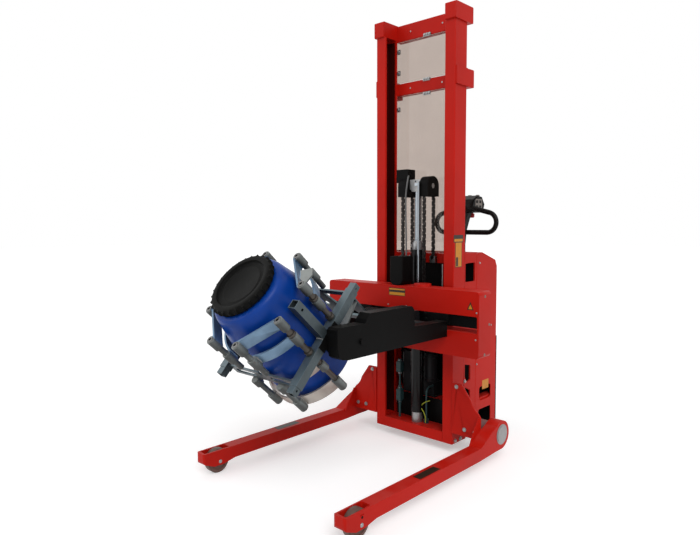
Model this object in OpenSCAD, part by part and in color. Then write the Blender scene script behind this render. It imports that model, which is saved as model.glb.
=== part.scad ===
// Drum tipper: a walk-behind stacker with a mast, two straddle legs and a tilting drum clamp.
// Millimetres, +Z up, +X to the machine's own right as seen from the front, the clamp looks toward -Y.
// The origin is under the centre of the whole machine, on the floor.

/* [Mast] */
// Half the width over both mast posts
mast_half = 257; // [252:1:262]
// Depth of a post, front to back
post_depth = 107; // [105:1:110]
// Width of a post's face
post_face = 62; // [58:1:64]
// Thickness of a post's web
post_web = 10; // [8:1:11]
// Thickness of a post's flanges
post_flange = 13; // [11:1:14]
// Height of the posts' lower ends above the floor
post_foot_z = 48; // [42:1:54]
// Height of the posts' upper ends
post_top_z = 2215; // [2210:1:2250]
// Height of the cap block on each post
cap_h = 82; // [70:1:100]
// How far a cap block stands out past its post
cap_over = 8; // [5:1:12]
// Depth of the blocks behind the posts
mid_block_depth = 55; // [50:1:60]
// Height of the lower beam's centre
mid_beam_z = 1943; // [1920:1:1955]
// Thickness of the guard sheet between the posts
screen_t = 4; // [3:1:5]

/* [Legs] */
// Inner side of a leg, from the machine's middle
leg_in = 426; // [420:1:430]
// Width of a leg
leg_w = 64; // [60:1:66]
// Height of a leg's underside above the floor
leg_bottom_z = 54; // [52:1:56]
// Height of a leg's beam
leg_h = 60; // [56:1:64]
// Radius of a front roller
roller_r = 58; // [54:1:60]
// Width of a front roller
roller_w = 42; // [38:1:44]
// Radius of the round tube through the legs' rear ends
cross_tube_r = 51; // [46:1:53]

/* [Lift] */
// Outer radius of the lift barrel
barrel_r = 36; // [34:1:38]
// Radius of the lift rod
rod_r = 20; // [17:1:21]
// Distance from the barrel's middle to each chain
chain_x = 71; // [66:1:76]
// Radius of the chains' bend over the sheaves
sheave_r = 42; // [40:0.5:42.5]
// Chain link pitch
link_pitch = 15.875; // [15:0.125:17]
// Radius of a chain link's round end
link_r = 6; // [5:0.25:6.5]
// Half the thickness of the chain pack
chain_half = 9; // [8:0.5:10]

/* [Carriage] */
// Half the width of the red carriage frame
frame_half = 494; // [486:1:498]
// Depth of the red carriage frame
frame_depth = 109; // [100:1:116]
// Height of the frame's underside
frame_z0 = 556; // [550:1:560]
// Height of the frame's top
frame_z1 = 876; // [872:1:880]
// Height of the slot's lower edge
slot_z0 = 677; // [672:1:682]
// Height of the slot's upper edge
slot_z1 = 758; // [754:1:762]
// Radius of the guide rollers running in the posts
guide_r = 40; // [38:0.5:40.5]
// Outer side of an arm, from the machine's middle
arm_out = 317; // [316:1:322]
// Thickness of an arm's casing
arm_w = 60; // [54:1:60]

/* [Clamp] */
// Angle by which the held drum leans forward
lean = 47.5; // [46:0.5:49]
// Distance of the clamp rods from the drum's axis
ring_r = 243; // [241:1:246]
// Radius of the clamp rods
clamp_rod_r = 12.5; // [11:0.5:13]
// Radius of the hinge knuckles
knuckle_r = 19.5; // [18.5:0.5:21]
// Side of the square tubes
tube_w = 40; // [38:1:40]
// Half the length of the square tubes
tube_half = 272; // [262:1:276]
// Width of a clamp strap along the drum
strap_h = 60; // [52:1:64]
// Thickness of a clamp strap
strap_t = 8; // [6:0.5:8]

/* [Drum] */
// Radius of the drum's body
drum_r = 203; // [200:0.5:203]
// Thickness of the drum's wall
drum_wall = 4; // [3:0.5:6]
// Number of grips round the lid
lid_grips = 20; // [18:1:26]
// Radius over the lid's grips
lid_r = 150; // [148:1:154]

/* [Power unit] */
// Half the width of the power unit's housing
body_half = 258; // [256:1:262]
// Height of the housing's top
body_top_z = 1042; // [1030:1:1055]
// Radius of the castor wheels
castor_r = 88; // [82:1:88]
// Radius of the drive wheel
drive_r = 105; // [98:1:106]

/* [Tiller] */
// Radius of the handle tube
loop_r = 14; // [12:0.5:15]
// Width of the handle across its widest point
loop_half = 205; // [196:1:212]
// Height of the handle's lower bar
loop_low_z = 1145; // [1138:1:1152]

/* [Hidden] */
$fn = 96;

// Colours
red = [0.76, 0.17, 0.12];
dark = [0.10, 0.10, 0.10];
grey = [0.42, 0.45, 0.46];
steel = [0.68, 0.69, 0.70];
zinc = [0.55, 0.60, 0.62];
blue = [0.10, 0.25, 0.55];
pale = [0.70, 0.66, 0.62];

// Clearances
run_gap = 0.5;
bore_gap = 0.05;
side_gap = 2;

// Derived places on the mast
post_in = mast_half - post_face;
web_in = mast_half - post_web;
flange_in0 = post_flange;
flange_in1 = post_depth - post_flange;
guide_y = post_depth / 2;
beam_y0 = post_depth;
beam_depth = 43;
cap_top_z = post_top_z + cap_h;

// The lift cylinder
lift_x = -8;
lift_y = 54;
barrel_z0 = 161;
barrel_z1 = 1057;
gland_top_z = 1105;
cross_z = 1390;
rod_z0 = 340;
barrel_bore = barrel_r - 7;
strand_front_y = lift_y - sheave_r;
strand_rear_y = lift_y + sheave_r;
strand_low_front_z = 600;
strand_low_rear_z = 1014;

// The carriage
frame_back_y = -33;
frame_front_y = frame_back_y - frame_depth;
cheek_out = post_in - 3;
cheek_t = 12;
guide_low_z = 612;
guide_high_z = 780;

// The clamp's own frame: its origin is on the drum's axis, in the square tubes' plane
clamp_y = -897;
clamp_z = 737;
pivot_v = 9;
pivot_w = -42;
ang_b = 20;
ang_c = -22;
ang_a = 65;
ang_d = -70;
w_top = 217;
w_mid = 118;
w_low = -60;
w_end = -207;
strap_d = drum_r + 0.5;
knuckle_half = 30;
mid_half = 28;
arc_in = ring_r - knuckle_r - 3;
drum_z0 = -222;
lid_z1 = 338;

// The arms
arm_in = arm_out - arm_w;
arm_front_y = -910;
arm_rear_y = frame_front_y;
arm_z0 = 646;
slot_bar_half = frame_half - 19;

// The power unit
body_y0 = 222;
body_y1 = 445;
deck_z0 = 222;
deck_z1 = 236;
deck_half = body_half - 9;
castor_x = 140;
castor_y = 330;
castor_trail = 22;
steer_y = 530;
tiller_y = 474;
tiller_z = 780;

// Half of the machine's length lies on each side of this line
front_y = clamp_y + ring_r * sin(ang_d) * cos(lean) - (w_top + knuckle_half) * sin(lean) - knuckle_r * cos(lean);
rear_y = 647;
shift_y = -(front_y + rear_y) / 2;

// Helpers: a box between two corners, round bars along each axis, and flat shapes set upright
module box(x0, x1, y0, y1, z0, z1) {
  translate([x0, y0, z0]) cube([x1 - x0, y1 - y0, z1 - z0]);
}
module bar_x(x0, x1, y, z, r) {
  translate([x0, y, z]) rotate([0, 90, 0]) cylinder(h = x1 - x0, r = r);
}
module bar_y(y0, y1, x, z, r) {
  translate([x, y0, z]) rotate([-90, 0, 0]) cylinder(h = y1 - y0, r = r);
}
module bar_z(z0, z1, x, y, r) {
  translate([x, y, z0]) cylinder(h = z1 - z0, r = r);
}
module hex_x(x0, x1, y, z, r) {
  translate([x0, y, z]) rotate([0, 90, 0]) linear_extrude(x1 - x0)
    polygon([for (i = [0:5]) [r * cos(60 * i), r * sin(60 * i)]]);
}
module hex_y(y0, y1, x, z, r) {
  translate([x, y0, z]) rotate([-90, 0, 0]) linear_extrude(y1 - y0)
    polygon([for (i = [0:5]) [r * cos(60 * i), r * sin(60 * i)]]);
}
module in_yz(x0, x1) {
  translate([x0, 0, 0]) rotate([90, 0, 90]) linear_extrude(x1 - x0) children();
}
module in_xz(y0, y1) {
  translate([0, y1, 0]) rotate([90, 0, 0]) linear_extrude(y1 - y0) children();
}
module in_xy(z0, z1) {
  translate([0, 0, z0]) linear_extrude(z1 - z0) children();
}
// A rectangle with round corners, between two corners
module soft_rect(a0, a1, b0, b1, r) {
  translate([a0 + r, b0]) square([a1 - a0 - 2 * r, b1 - b0]);
  translate([a0, b0 + r]) square([a1 - a0, b1 - b0 - 2 * r]);
  for (a = [a0 + r, a1 - r], b = [b0 + r, b1 - r]) translate([a, b]) circle(r = r);
}
// A slot shape: two circles joined by a bar, its ends at two points
module slot_line(a, b, r) {
  len = norm(b - a);
  translate(a) circle(r = r);
  translate(b) circle(r = r);
  translate(a) rotate(atan2(b[1] - a[1], b[0] - a[0])) translate([0, -r]) square([len, 2 * r]);
}
module both_sides() {
  children();
  mirror([1, 0, 0]) children();
}
// Everything is drawn from the mast's front face, then moved so that the machine's middle is at the origin
module machine() {
  translate([0, shift_y, 0]) children();
}
module clamp_frame() {
  translate([0, shift_y + clamp_y, clamp_z]) rotate([lean, 0, 0]) children();
}
function ring(a, r) = [r * cos(a), r * sin(a)];

// The mast and the base
module base_frame() {
  color(red) machine() {
    // Front beam between the posts, a folded channel
    difference() {
      box(-post_in, post_in, 0, post_depth, post_foot_z, post_foot_z + 55);
      box(-post_in - 1, post_in + 1, 8, post_depth - 8, post_foot_z - 1, post_foot_z + 47);
    }
    // Side plates between the posts and the deck, with the two windows of each
    both_sides() difference() {
      in_yz(249, mast_half) polygon([[post_depth, post_foot_z], [post_depth + 20, post_foot_z],
        [body_y0, 190], [body_y0, 1043], [post_depth, 1043]]);
      in_yz(245, mast_half + 1) polygon([[116, 452], [170, 440], [171, 362], [139, 353], [116, 384]]);
      in_yz(245, mast_half + 1) polygon([[119, 329], [170, 303], [171, 253], [129, 284]]);
      in_yz(245, mast_half + 1) soft_rect(post_depth + 6, 206, 890, 990, 6);
    }
    // Deck over the castors and the drive wheel
    difference() {
      in_xy(deck_z0, deck_z1) {
        translate([-249, post_depth + 8]) square([498, body_y0 - post_depth - 8]);
        translate([-deck_half, body_y0 - 2]) square([2 * deck_half, 212]);
        translate([-112, 420]) square([224, steer_y - 420]);
        translate([0, steer_y]) circle(r = 112);
      }
      bar_z(deck_z0 - 1, deck_z1 + 1, 0, steer_y, 70);
      both_sides() bar_z(deck_z0 - 1, deck_z1 + 1, castor_x, castor_y, 12 + run_gap);
      box(-60, 60, 118, 210, deck_z0 - 1, deck_z1 + 1);
    }
    // Low back wall of the base and the ribs that carry the deck
    box(-249, 249, post_depth, post_depth + 8, post_foot_z, 150);
    box(-249, 249, post_depth, post_depth + 8, 200, deck_z1);
    both_sides() {
      in_yz(70, 78) polygon([[post_depth + 8, 120], [post_depth + 8, deck_z0], [205, deck_z0]]);
      box(deck_half - 8, deck_half, 205, body_y0 + 210, 196, deck_z0);
      for (y = [228, 398]) box(deck_half - 4, body_half - 4, y, y + 20, 200, deck_z1 - 4);
    }
    // Cross rail that carries the rear chain ends
    difference() {
      in_xz(post_depth, post_depth + 40) soft_rect(-249, 249, 985, 1037, 6);
      for (x = [lift_x - chain_x, lift_x + chain_x])
        box(x - 20, x + 20, post_depth - 1, post_depth + 20, 984, 1038);
    }
  }
}
module post() {
  difference() {
    in_xy(post_foot_z, post_top_z) difference() {
      soft_rect(post_in, mast_half, 0, post_depth, 4);
      translate([post_in - 5, flange_in0]) square([web_in - post_in + 5, flange_in1 - flange_in0]);
    }
    // Round holes near the foot for the wing plate's bolts
    for (z = [144, 379 - 100]) bar_x(web_in - 1, mast_half + 1, guide_y, z, 7);
  }
}
module mast_post_right() {
  color(red) machine() post();
}
module mast_post_left() {
  color(red) machine() mirror([1, 0, 0]) post();
}
module mast_cap_blocks() {
  color(red) machine() both_sides() {
    in_yz(post_in + 5, mast_half + cap_over) soft_rect(-10, 150, post_top_z, cap_top_z, 6);
    in_yz(post_in + 5, mast_half + cap_over)
      soft_rect(post_depth, post_depth + mid_block_depth, mid_beam_z - 48, mid_beam_z + 42, 6);
  }
}
module cross_beam(z0, z1) {
  difference() {
    in_yz(-post_in - 5, post_in + 5) soft_rect(beam_y0, beam_y0 + beam_depth, z0, z1, 5);
    in_yz(-post_in - 6, post_in + 6)
      soft_rect(beam_y0 + 8, beam_y0 + beam_depth - 8, z0 + 8, z1 - 8, 4);
    for (x = [-105, 105]) bar_y(beam_y0 - 1, beam_y0 + 9, x, (z0 + z1) / 2, 9);
  }
}
module mast_cross_beams() {
  color(red) machine() {
    cross_beam(post_top_z - 12, post_top_z + 78);
    cross_beam(mid_beam_z - 33, mid_beam_z + 34);
  }
}
module mast_screen() {
  color(pale) machine() {
    in_xz(post_depth, post_depth + screen_t)
      soft_rect(-post_in - 4, post_in + 4, 1040, mid_beam_z - 34, 5);
    in_xz(post_depth, post_depth + screen_t)
      soft_rect(-post_in - 4, post_in + 4, mid_beam_z + 35, post_top_z - 13, 5);
  }
}

// Legs, wing plates and the round tube
module wing_plate() {
  difference() {
    in_xz(-5, 5) difference() {
      polygon([[mast_half, 112], [leg_in, 112], [leg_in, 228], [313, 379], [mast_half, 379]]);
      translate([leg_in + 40, 330]) circle(r = 100);
    }
    for (p = [[289, 356], [330, 144], [399, 145]]) bar_y(-6, 6, p[0], p[1], 6);
  }
  // Gusset behind the plate
  in_yz(mast_half, mast_half + 8) polygon([[5, 112], [86, 190], [86, 300], [5, 379]]);
}
module wing_plate_right() {
  color(red) machine() wing_plate();
}
module wing_plate_left() {
  color(red) machine() mirror([1, 0, 0]) wing_plate();
}
module leg() {
  leg_out = leg_in + leg_w;
  leg_top_z = leg_bottom_z + leg_h;
  difference() {
    union() {
      // The beam with its rising rear end, and the round rear boss
      in_yz(leg_in, leg_out) {
        polygon([[-1045, 62], [-1045, leg_top_z], [-100, leg_top_z], [20, 175], [97, 204],
          [97, 60], [49, 60], [-100, leg_bottom_z], [-873, leg_bottom_z], [-940, 41], [-993, 41]]);
        translate([97, 132]) circle(r = 72);
      }
      // Rounded tip
      in_xy(62, leg_top_z) soft_rect(leg_in, leg_out, -1051, -980, 14);
      // Raised edge where the beam meets the wing plate
      in_yz(leg_in - 8, leg_in) polygon([[-95, 107], [-5, 137], [-5, 228], [-14, 228], [-75, 143]]);
    }
    // Pocket for the roller, open at the top and below
    in_xy(20, leg_top_z + 1) {
      soft_rect(leg_in + 9, leg_out - 9, -1038, -900, 8);
    }
    // Bore for the round tube
    bar_x(leg_in - 20, leg_out + 1, 97, 135, cross_tube_r);
    // Hollow underside
    box(leg_in + 8, leg_out - 8, -860, -130, leg_bottom_z - 1, leg_top_z - 8);
    // Bore for the roller's pin and the small slot above it
    bar_x(leg_in - 1, leg_out + 1, -960, roller_r, 9);
    in_yz(leg_out - 3, leg_out + 1) slot_line([-968, 98], [-952, 98], 3);
    // Far edge of the tip is rounded in side view
    difference() {
      box(leg_in - 1, leg_out + 1, -1052, -1045, 50, 76);
      bar_x(leg_in - 1, leg_out + 1, -1037, 76, 14);
    }
  }
}
module leg_right() {
  color(red) machine() leg();
}
module leg_left() {
  color(red) machine() mirror([1, 0, 0]) leg();
}
module cross_tube() {
  color(steel) machine() both_sides() {
    difference() {
      bar_x(mast_half + 8, leg_in + leg_w + 2, 97, 135, cross_tube_r);
      bar_x(mast_half + 7, leg_in + leg_w + 3, 97, 135, cross_tube_r - 8);
    }
    bar_x(leg_in + leg_w - 6, leg_in + leg_w + 4, 97, 135, cross_tube_r - 8);
  }
}
module front_roller() {
  // The tread with its two soft shoulders turns on a hub sleeve
  leg_mid = leg_in + leg_w / 2;
  difference() {
    union() {
      bar_x(leg_mid - roller_w / 2 + 3, leg_mid + roller_w / 2 - 3, -960, roller_r, roller_r);
      bar_x(leg_mid - roller_w / 2, leg_mid + roller_w / 2, -960, roller_r, roller_r - 3);
    }
    bar_x(leg_in, leg_in + leg_w, -960, roller_r, 9 + bore_gap);
    for (s = [-1, 1]) translate([leg_mid + s * roller_w / 2, 0, 0]) difference() {
      bar_x(-4, 4, -960, roller_r, 42);
      bar_x(-5, 5, -960, roller_r, 20);
    }
  }
}
module front_roller_right() {
  color(steel) machine() front_roller();
}
module front_roller_left() {
  color(steel) machine() mirror([1, 0, 0]) front_roller();
}

// Bolts, pins and the clips on the mast
module chassis_bolts() {
  // Low heads, which the hoods pass with 0.8 mm left
  beam_head = 1.2;
  leg_out = leg_in + leg_w;
  color(steel) machine() {
    both_sides() {
      bar_x(leg_in - 2, leg_out + 2, -960, roller_r, 9);
      for (p = [[289, 356], [330, 144], [399, 145]]) {
        hex_y(-13, -5, p[0], p[1], 11);
        bar_y(-5, 5, p[0], p[1], 6);
      }
      for (y = [30, 78]) hex_x(mast_half, mast_half + 9, y, 62, 11);
      hex_x(body_half, body_half + 4, 252, 985, 5);
      hex_x(body_half, body_half + 4, 323, 794, 5);
      hex_x(body_half, body_half + 4, 378, 632, 5);
      hex_x(body_half, body_half + 4, 320, 469, 5);
    }
    for (x = [-105, 105]) {
      bar_y(beam_y0 - beam_head, beam_y0 + 4, x, post_top_z + 33, 6);
      bar_y(beam_y0 - beam_head, beam_y0 + 4, x, mid_beam_z + 0.5, 6);
    }
    for (p = [[15, post_top_z - 22], [-170, post_top_z - 65], [-170, mid_beam_z + 96],
        [15, mid_beam_z + 46], [17, mid_beam_z - 62], [-170, mid_beam_z - 109]]) {
      box(p[0] - 11, p[0] + 11, post_depth - 5, post_depth, p[1] - 7, p[1] + 7);
      bar_y(post_depth - 9, post_depth - 5, p[0], p[1], 4);
    }
  }
}

// Lift cylinder, crosshead, sheaves and chains
module lift_barrel() {
  color(dark) machine() difference() {
    bar_z(barrel_z0, barrel_z1, lift_x, lift_y, barrel_r);
    bar_z(barrel_z0 + 16, barrel_z1 + 1, lift_x, lift_y, barrel_bore);
  }
}
module lift_gland() {
  color(steel) machine() {
    difference() {
      union() {
        bar_z(barrel_z1, gland_top_z - 8, lift_x, lift_y, barrel_r - 3);
        bar_z(gland_top_z - 8, gland_top_z, lift_x, lift_y, barrel_r - 8);
        bar_z(barrel_z1 - 30, barrel_z1 + 5, lift_x, lift_y, barrel_bore);
        box(lift_x - barrel_r - 8, lift_x - barrel_r + 8, lift_y - 8, lift_y + 8, barrel_z1 + 12, barrel_z1 + 28);
      }
      bar_z(barrel_z1 - 31, gland_top_z + 1, lift_x, lift_y, rod_r + bore_gap);
    }
    // Foot of the cylinder, standing on the base beam's top
    bar_z(post_foot_z + 55, barrel_z0, lift_x, lift_y, barrel_r - 6);
  }
}
module lift_rod() {
  color(steel) machine() {
    bar_z(rod_z0, cross_z - 20, lift_x, lift_y, rod_r);
    difference() {
      bar_z(rod_z0, rod_z0 + 32, lift_x, lift_y, barrel_bore - bore_gap);
      for (z = [rod_z0 + 8, rod_z0 + 20]) difference() {
        bar_z(z, z + 4, lift_x, lift_y, barrel_r);
        bar_z(z - 1, z + 5, lift_x, lift_y, barrel_bore - 3);
      }
    }
  }
}
module crosshead() {
  color(steel) machine() {
    // Block on the rod's end, with the axle of both sheaves
    difference() {
      in_xz(lift_y - 26, lift_y + 26) difference() {
        soft_rect(lift_x - 38, lift_x + 38, cross_z - 20, cross_z + 44, 8);
        translate([lift_x - 38, cross_z - 20]) circle(r = 12);
        translate([lift_x + 38, cross_z - 20]) circle(r = 12);
      }
      bar_y(lift_y - 30, lift_y + 30, lift_x, cross_z + 34, 5);
    }
    bar_x(lift_x - chain_x - 26, lift_x + chain_x + 26, lift_y, cross_z + 8, 14);
    for (s = [-1, 1]) {
      bar_x(lift_x + s * chain_x - 21 - 1.5, lift_x + s * chain_x - 21 + 1.5, lift_y, cross_z + 8, 22);
      bar_x(lift_x + s * chain_x + 21 - 1.5, lift_x + s * chain_x + 21 + 1.5, lift_y, cross_z + 8, 22);
    }
  }
}
module cover_shape(r) {
  translate([lift_y, cross_z + 8]) circle(r = r);
  translate([lift_y - r, cross_z - 48]) square([2 * r, 56]);
}
module sheave_cover(x) {
  // A round-topped hood, open below, with its two side cheeks
  difference() {
    in_yz(x - 28, x + 28) cover_shape(51);
    in_yz(x - 24, x + 24) translate([0, -1]) cover_shape(49.6);
    bar_x(x - 29, x + 29, lift_y, cross_z + 8, 14);
    in_yz(x - 24, x + 24) translate([lift_y - 49.6, cross_z - 60]) square([99.2, 20]);
  }
}
module sheave_covers() {
  color(dark) machine() {
    for (s = [-1, 1]) sheave_cover(lift_x + s * chain_x);
    // Switch box on top of the left hood, on its bracket
    x = lift_x - chain_x;
    difference() {
      in_xz(lift_y - 30, lift_y + 34) soft_rect(x - 56, x + 24, cross_z + 30, cross_z + 102, 5);
      in_yz(x - 28.2, x + 30) cover_shape(51);
    }
    box(x - 66, x - 56, lift_y - 12, lift_y + 12, cross_z + 46, cross_z + 90);
  }
}
module sheave(x) {
  bar_r = sheave_r - link_r - 0.4;
  difference() {
    union() {
      bar_x(x - chain_half - 1, x + chain_half + 1, lift_y, cross_z + 8, bar_r);
      for (s = [-1, 1]) {
        a = x + s * (chain_half + 3);
        bar_x(a - 2, a + 2, lift_y, cross_z + 8, sheave_r + 4);
      }
    }
    bar_x(x - 40, x + 40, lift_y, cross_z + 8, 14 + bore_gap);
  }
}
module sheaves() {
  color(grey) machine() for (s = [-1, 1]) sheave(lift_x + s * chain_x);
}
// A strand of leaf chain: two sets of round-ended plates a pitch apart, on common pins
module strand(x, y, z0, z1) {
  n = floor((z1 - z0) / link_pitch);
  t = chain_half / 2;
  for (k = [0:3]) {
    first = k % 2;
    in_yz(x - chain_half + k * t + 0.2, x - chain_half + (k + 1) * t - 0.2)
      for (i = [first:2:n - 1])
        slot_line([y, z0 + i * link_pitch], [y, z0 + (i + 1) * link_pitch], link_r);
  }
  in_yz(x - chain_half, x + chain_half) for (i = [0:n])
    translate([y, z0 + i * link_pitch]) circle(r = 2.5);
}
module rear_chain() {
  color(dark) machine() for (s = [-1, 1])
    strand(lift_x + s * chain_x, strand_rear_y, strand_low_rear_z, cross_z - 2);
}
module front_chain() {
  color(dark) machine() for (s = [-1, 1])
    strand(lift_x + s * chain_x, strand_front_y, strand_low_front_z, cross_z - 2);
}
module chain_wraps() {
  // Half turns of chain lying over the sheaves
  color(dark) machine() for (s = [-1, 1]) {
    x = lift_x + s * chain_x;
    difference() {
      bar_x(x - chain_half, x + chain_half, lift_y, cross_z + 8, sheave_r + link_r);
      bar_x(x - chain_half - 1, x + chain_half + 1, lift_y, cross_z + 8, sheave_r - link_r);
      box(x - 20, x + 20, lift_y - 60, lift_y + 60, cross_z - 80, cross_z + 8);
    }
  }
}
module chain_anchors() {
  // Forked anchors on the cross rail; each holds the end of a rear chain
  color(steel) machine() for (s = [-1, 1]) {
    x = lift_x + s * chain_x;
    difference() {
      box(x - 17, x + 17, strand_rear_y - 9, post_depth + 20, 986, strand_low_rear_z + 9);
      box(x - chain_half - 0.5, x + chain_half + 0.5, strand_rear_y - 10, post_depth - 2, 1000, 1040);
      box(x - 18, x + 18, post_depth - 3, post_depth + 21, 1006, 1040);
    }
    bar_x(x - 20, x - chain_half - 0.5, strand_rear_y, strand_low_rear_z, 4);
    bar_x(x + chain_half + 0.5, x + 20, strand_rear_y, strand_low_rear_z, 4);
  }
}

// The carriage
module carriage_frame() {
  color(red) machine() {
    difference() {
      in_xz(frame_front_y, frame_back_y) difference() {
        soft_rect(-frame_half, frame_half, frame_z0, frame_z1, 16);
        soft_rect(-frame_half + 10, frame_half - 10, slot_z0, slot_z1, 8);
      }
      // Both beams are hollow at the back
      for (z = [[frame_z0 + 10, slot_z0 - 8], [slot_z1 + 8, frame_z1 - 10]])
        in_xz(frame_front_y + 12, frame_back_y + 1)
          soft_rect(-frame_half + 10, frame_half - 10, z[0], z[1], 5);
    }
    // Low round boss on the top beam
    bar_z(frame_z1 - 1, frame_z1 + 14, 128, -88, 45);
    // Ribs inside the hollow beams
    for (x = [-330, -205, 205, 330]) for (z = [[frame_z0 + 9, slot_z0 - 7], [slot_z1 + 7, frame_z1 - 9]])
      box(x - 5, x + 5, frame_front_y + 11, frame_back_y - 12, z[0], z[1]);
  }
}
module carriage_cheeks() {
  color(red) machine() {
    both_sides() {
      difference() {
        in_yz(cheek_out - cheek_t, cheek_out) difference() {
          polygon([[frame_back_y, 570], [30, 570], [76, 590], [76, 805], [50, 824], [frame_back_y, 824]]);
          translate([10, 697]) circle(r = 26);
        }
      }
      for (z = [guide_low_z, guide_high_z]) {
        bar_x(cheek_out, web_in - 8, guide_y, z, 14);
        bar_x(cheek_out, cheek_out + 5, guide_y, z, 22);
      }
    }
    // Cross plates behind the frame carry the front chains' ends
    for (x = [lift_x - chain_x, lift_x + chain_x]) {
      difference() {
        box(x - 18, x + 18, frame_back_y, strand_front_y + 9, 572, 608);
        box(x - chain_half - 0.5, x + chain_half + 0.5, strand_front_y - 9, strand_front_y + 10, 590, 610);
      }
    }
    difference() {
      box(-cheek_out + cheek_t, cheek_out - cheek_t, frame_back_y, frame_back_y + 10, 566, 874);
      in_xz(frame_back_y - 1, frame_back_y + 11) soft_rect(-120, 120, 600, 650, 10);
      in_xz(frame_back_y - 1, frame_back_y + 11) soft_rect(-120, 120, 690, 800, 10);
    }
  }
}
module guide_pair(z) {
  both_sides() difference() {
    union() {
      bar_x(cheek_out + 8, web_in - 4, guide_y, z, guide_r - 2);
      bar_x(cheek_out + 10, web_in - 6, guide_y, z, guide_r);
    }
    bar_x(cheek_out + 7, web_in - 8 + side_gap, guide_y, z, 14 + bore_gap);
  }
}
module guide_rollers_low() {
  color(steel) machine() guide_pair(guide_low_z);
}
module guide_rollers_high() {
  color(steel) machine() guide_pair(guide_high_z);
}
module carriage_housing() {
  color(dark) machine() difference() {
    union() {
      in_xz(-138, -44) soft_rect(-48, 92, frame_z1 + 60, frame_z1 + 152, 10);
      in_xz(-134, -48) soft_rect(-38, 78, frame_z1, frame_z1 + 90, 6);
      bar_z(frame_z1, frame_z1 + 6, 22, -92, 42);
    }
    for (z = [frame_z1 + 78:10:frame_z1 + 138]) box(91, 93, -120, -60, z, z + 4);
    box(-30, 70, -126, -56, frame_z1 - 1, frame_z1 + 40);
  }
}
module slot_crossbar() {
  // Bar held in the carriage's slot, to which both arms are bolted
  color(dark) machine() {
    difference() {
      box(-slot_bar_half, slot_bar_half, frame_front_y + 14, frame_front_y + 44, slot_z0 + 22, slot_z1);
      for (x = [-200, 0, 200])
        box(x - 60, x + 60, frame_front_y + 20, frame_front_y + 45, slot_z0 + 30, slot_z1 - 10);
    }
    // Flange plates behind the arms' roots, and their bolts
    both_sides() {
      box(172, arm_out + 6, frame_front_y, frame_front_y + 14.5, slot_z0 + 24, slot_z1 - 3);
      for (z = [slot_z0 + 44, slot_z1 - 14]) hex_y(frame_front_y - 6, frame_front_y + 1, 189, z, 9);
    }
  }
}
pivot_y = clamp_y + pivot_v * cos(lean) - pivot_w * sin(lean);
pivot_z = clamp_z + pivot_v * sin(lean) + pivot_w * cos(lean);
module arm_case() {
  difference() {
    in_yz(arm_in, arm_out) polygon([[arm_front_y, 706], [arm_front_y, 774], [arm_front_y + 12, 784],
      [-745, 784], [-735, 800], [-712, 824], [-425, 824], [-408, 808], [-404, 728], [arm_rear_y, 722],
      [arm_rear_y, arm_z0], [-845, arm_z0], [-880, arm_z0 + 6], [-899, arm_z0 + 18]]);
    // Blind bore of the pivot pin
    bar_x(arm_in - 1, arm_out - 10, pivot_y, pivot_z, 25 + bore_gap);
    // Hollow inside, open toward the machine's middle
    in_yz(arm_in - 1, arm_out - 9) polygon([[-790, arm_z0 + 10], [-790, 770], [-725, 776],
      [-700, 812], [-430, 812], [-416, 800], [-416, 716], [-160, 712], [-160, arm_z0 + 10]]);
  }
  // Inner cover plate over the hollow
  difference() {
    in_yz(arm_in, arm_in + 6) polygon([[-700, arm_z0 + 9], [-700, 813], [-429, 813], [-415, 801],
      [-415, 717], [-159, 713], [-159, arm_z0 + 9]]);
    for (y = [-660, -500, -340]) in_yz(arm_in - 1, arm_in + 7) slot_line([y - 30, 686], [y + 30, 686], 14);
  }
  // Head of the bolt at the front
  hex_x(arm_out - 2, arm_out + 8, -768, 711, 13);
}
module arm_right() {
  color(dark) machine() arm_case();
}
module arm_left() {
  color(dark) machine() mirror([1, 0, 0]) arm_case();
}
module tilt_drive() {
  // Gear motor between the arms' roots, and its shaft through both arms to the clamp
  color(dark) machine() {
    bar_x(-150, 60, -205, 700, 52);
    bar_x(60, 82, -205, 700, 58);
    for (x = [-140:14:40]) bar_x(x, x + 5, -205, 700, 57);
    in_yz(82, 150) soft_rect(-262, frame_front_y, 640, 760, 12);
    bar_x(150, arm_in, -205, 700, 18);
    box(-120, 60, -160, frame_front_y, 684, 716);
  }
}

// The clamp, drawn about the drum's axis
module cage_tubes() {
  color(grey) clamp_frame() both_sides() difference() {
    union() {
      // Square tube across the drum, with a narrower tube end at each side
      difference() {
        box(212, 212 + tube_w, -tube_half + 32, tube_half - 32, -20, 20);
        box(216, 208 + tube_w, -tube_half + 31, tube_half - 31, -16, 16);
      }
      difference() {
        box(215, 209 + tube_w, -tube_half, tube_half, -17, 17);
        box(219, 205 + tube_w, -tube_half - 1, tube_half + 1, -13, 13);
      }
      // Square tube along the drum
      difference() {
        box(212, 212 + tube_w, -20, 20, 20, 228);
        box(216, 208 + tube_w, -16, 16, 24, 229);
      }
      // Pad between the tubes and the drum
      box(strap_d, 213, -14, 14, -16, 100);
    }
    for (a = [ang_b, ang_c]) bar_z(-30, 30, ring_r * cos(a), ring_r * sin(a), clamp_rod_r);
    // Round holes for the set screws
    for (v = [-252, 252]) bar_x(230, 213 + tube_w, v, 0, 5);
    bar_x(230, 213 + tube_w, 0, 190, 6);
  }
}
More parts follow.
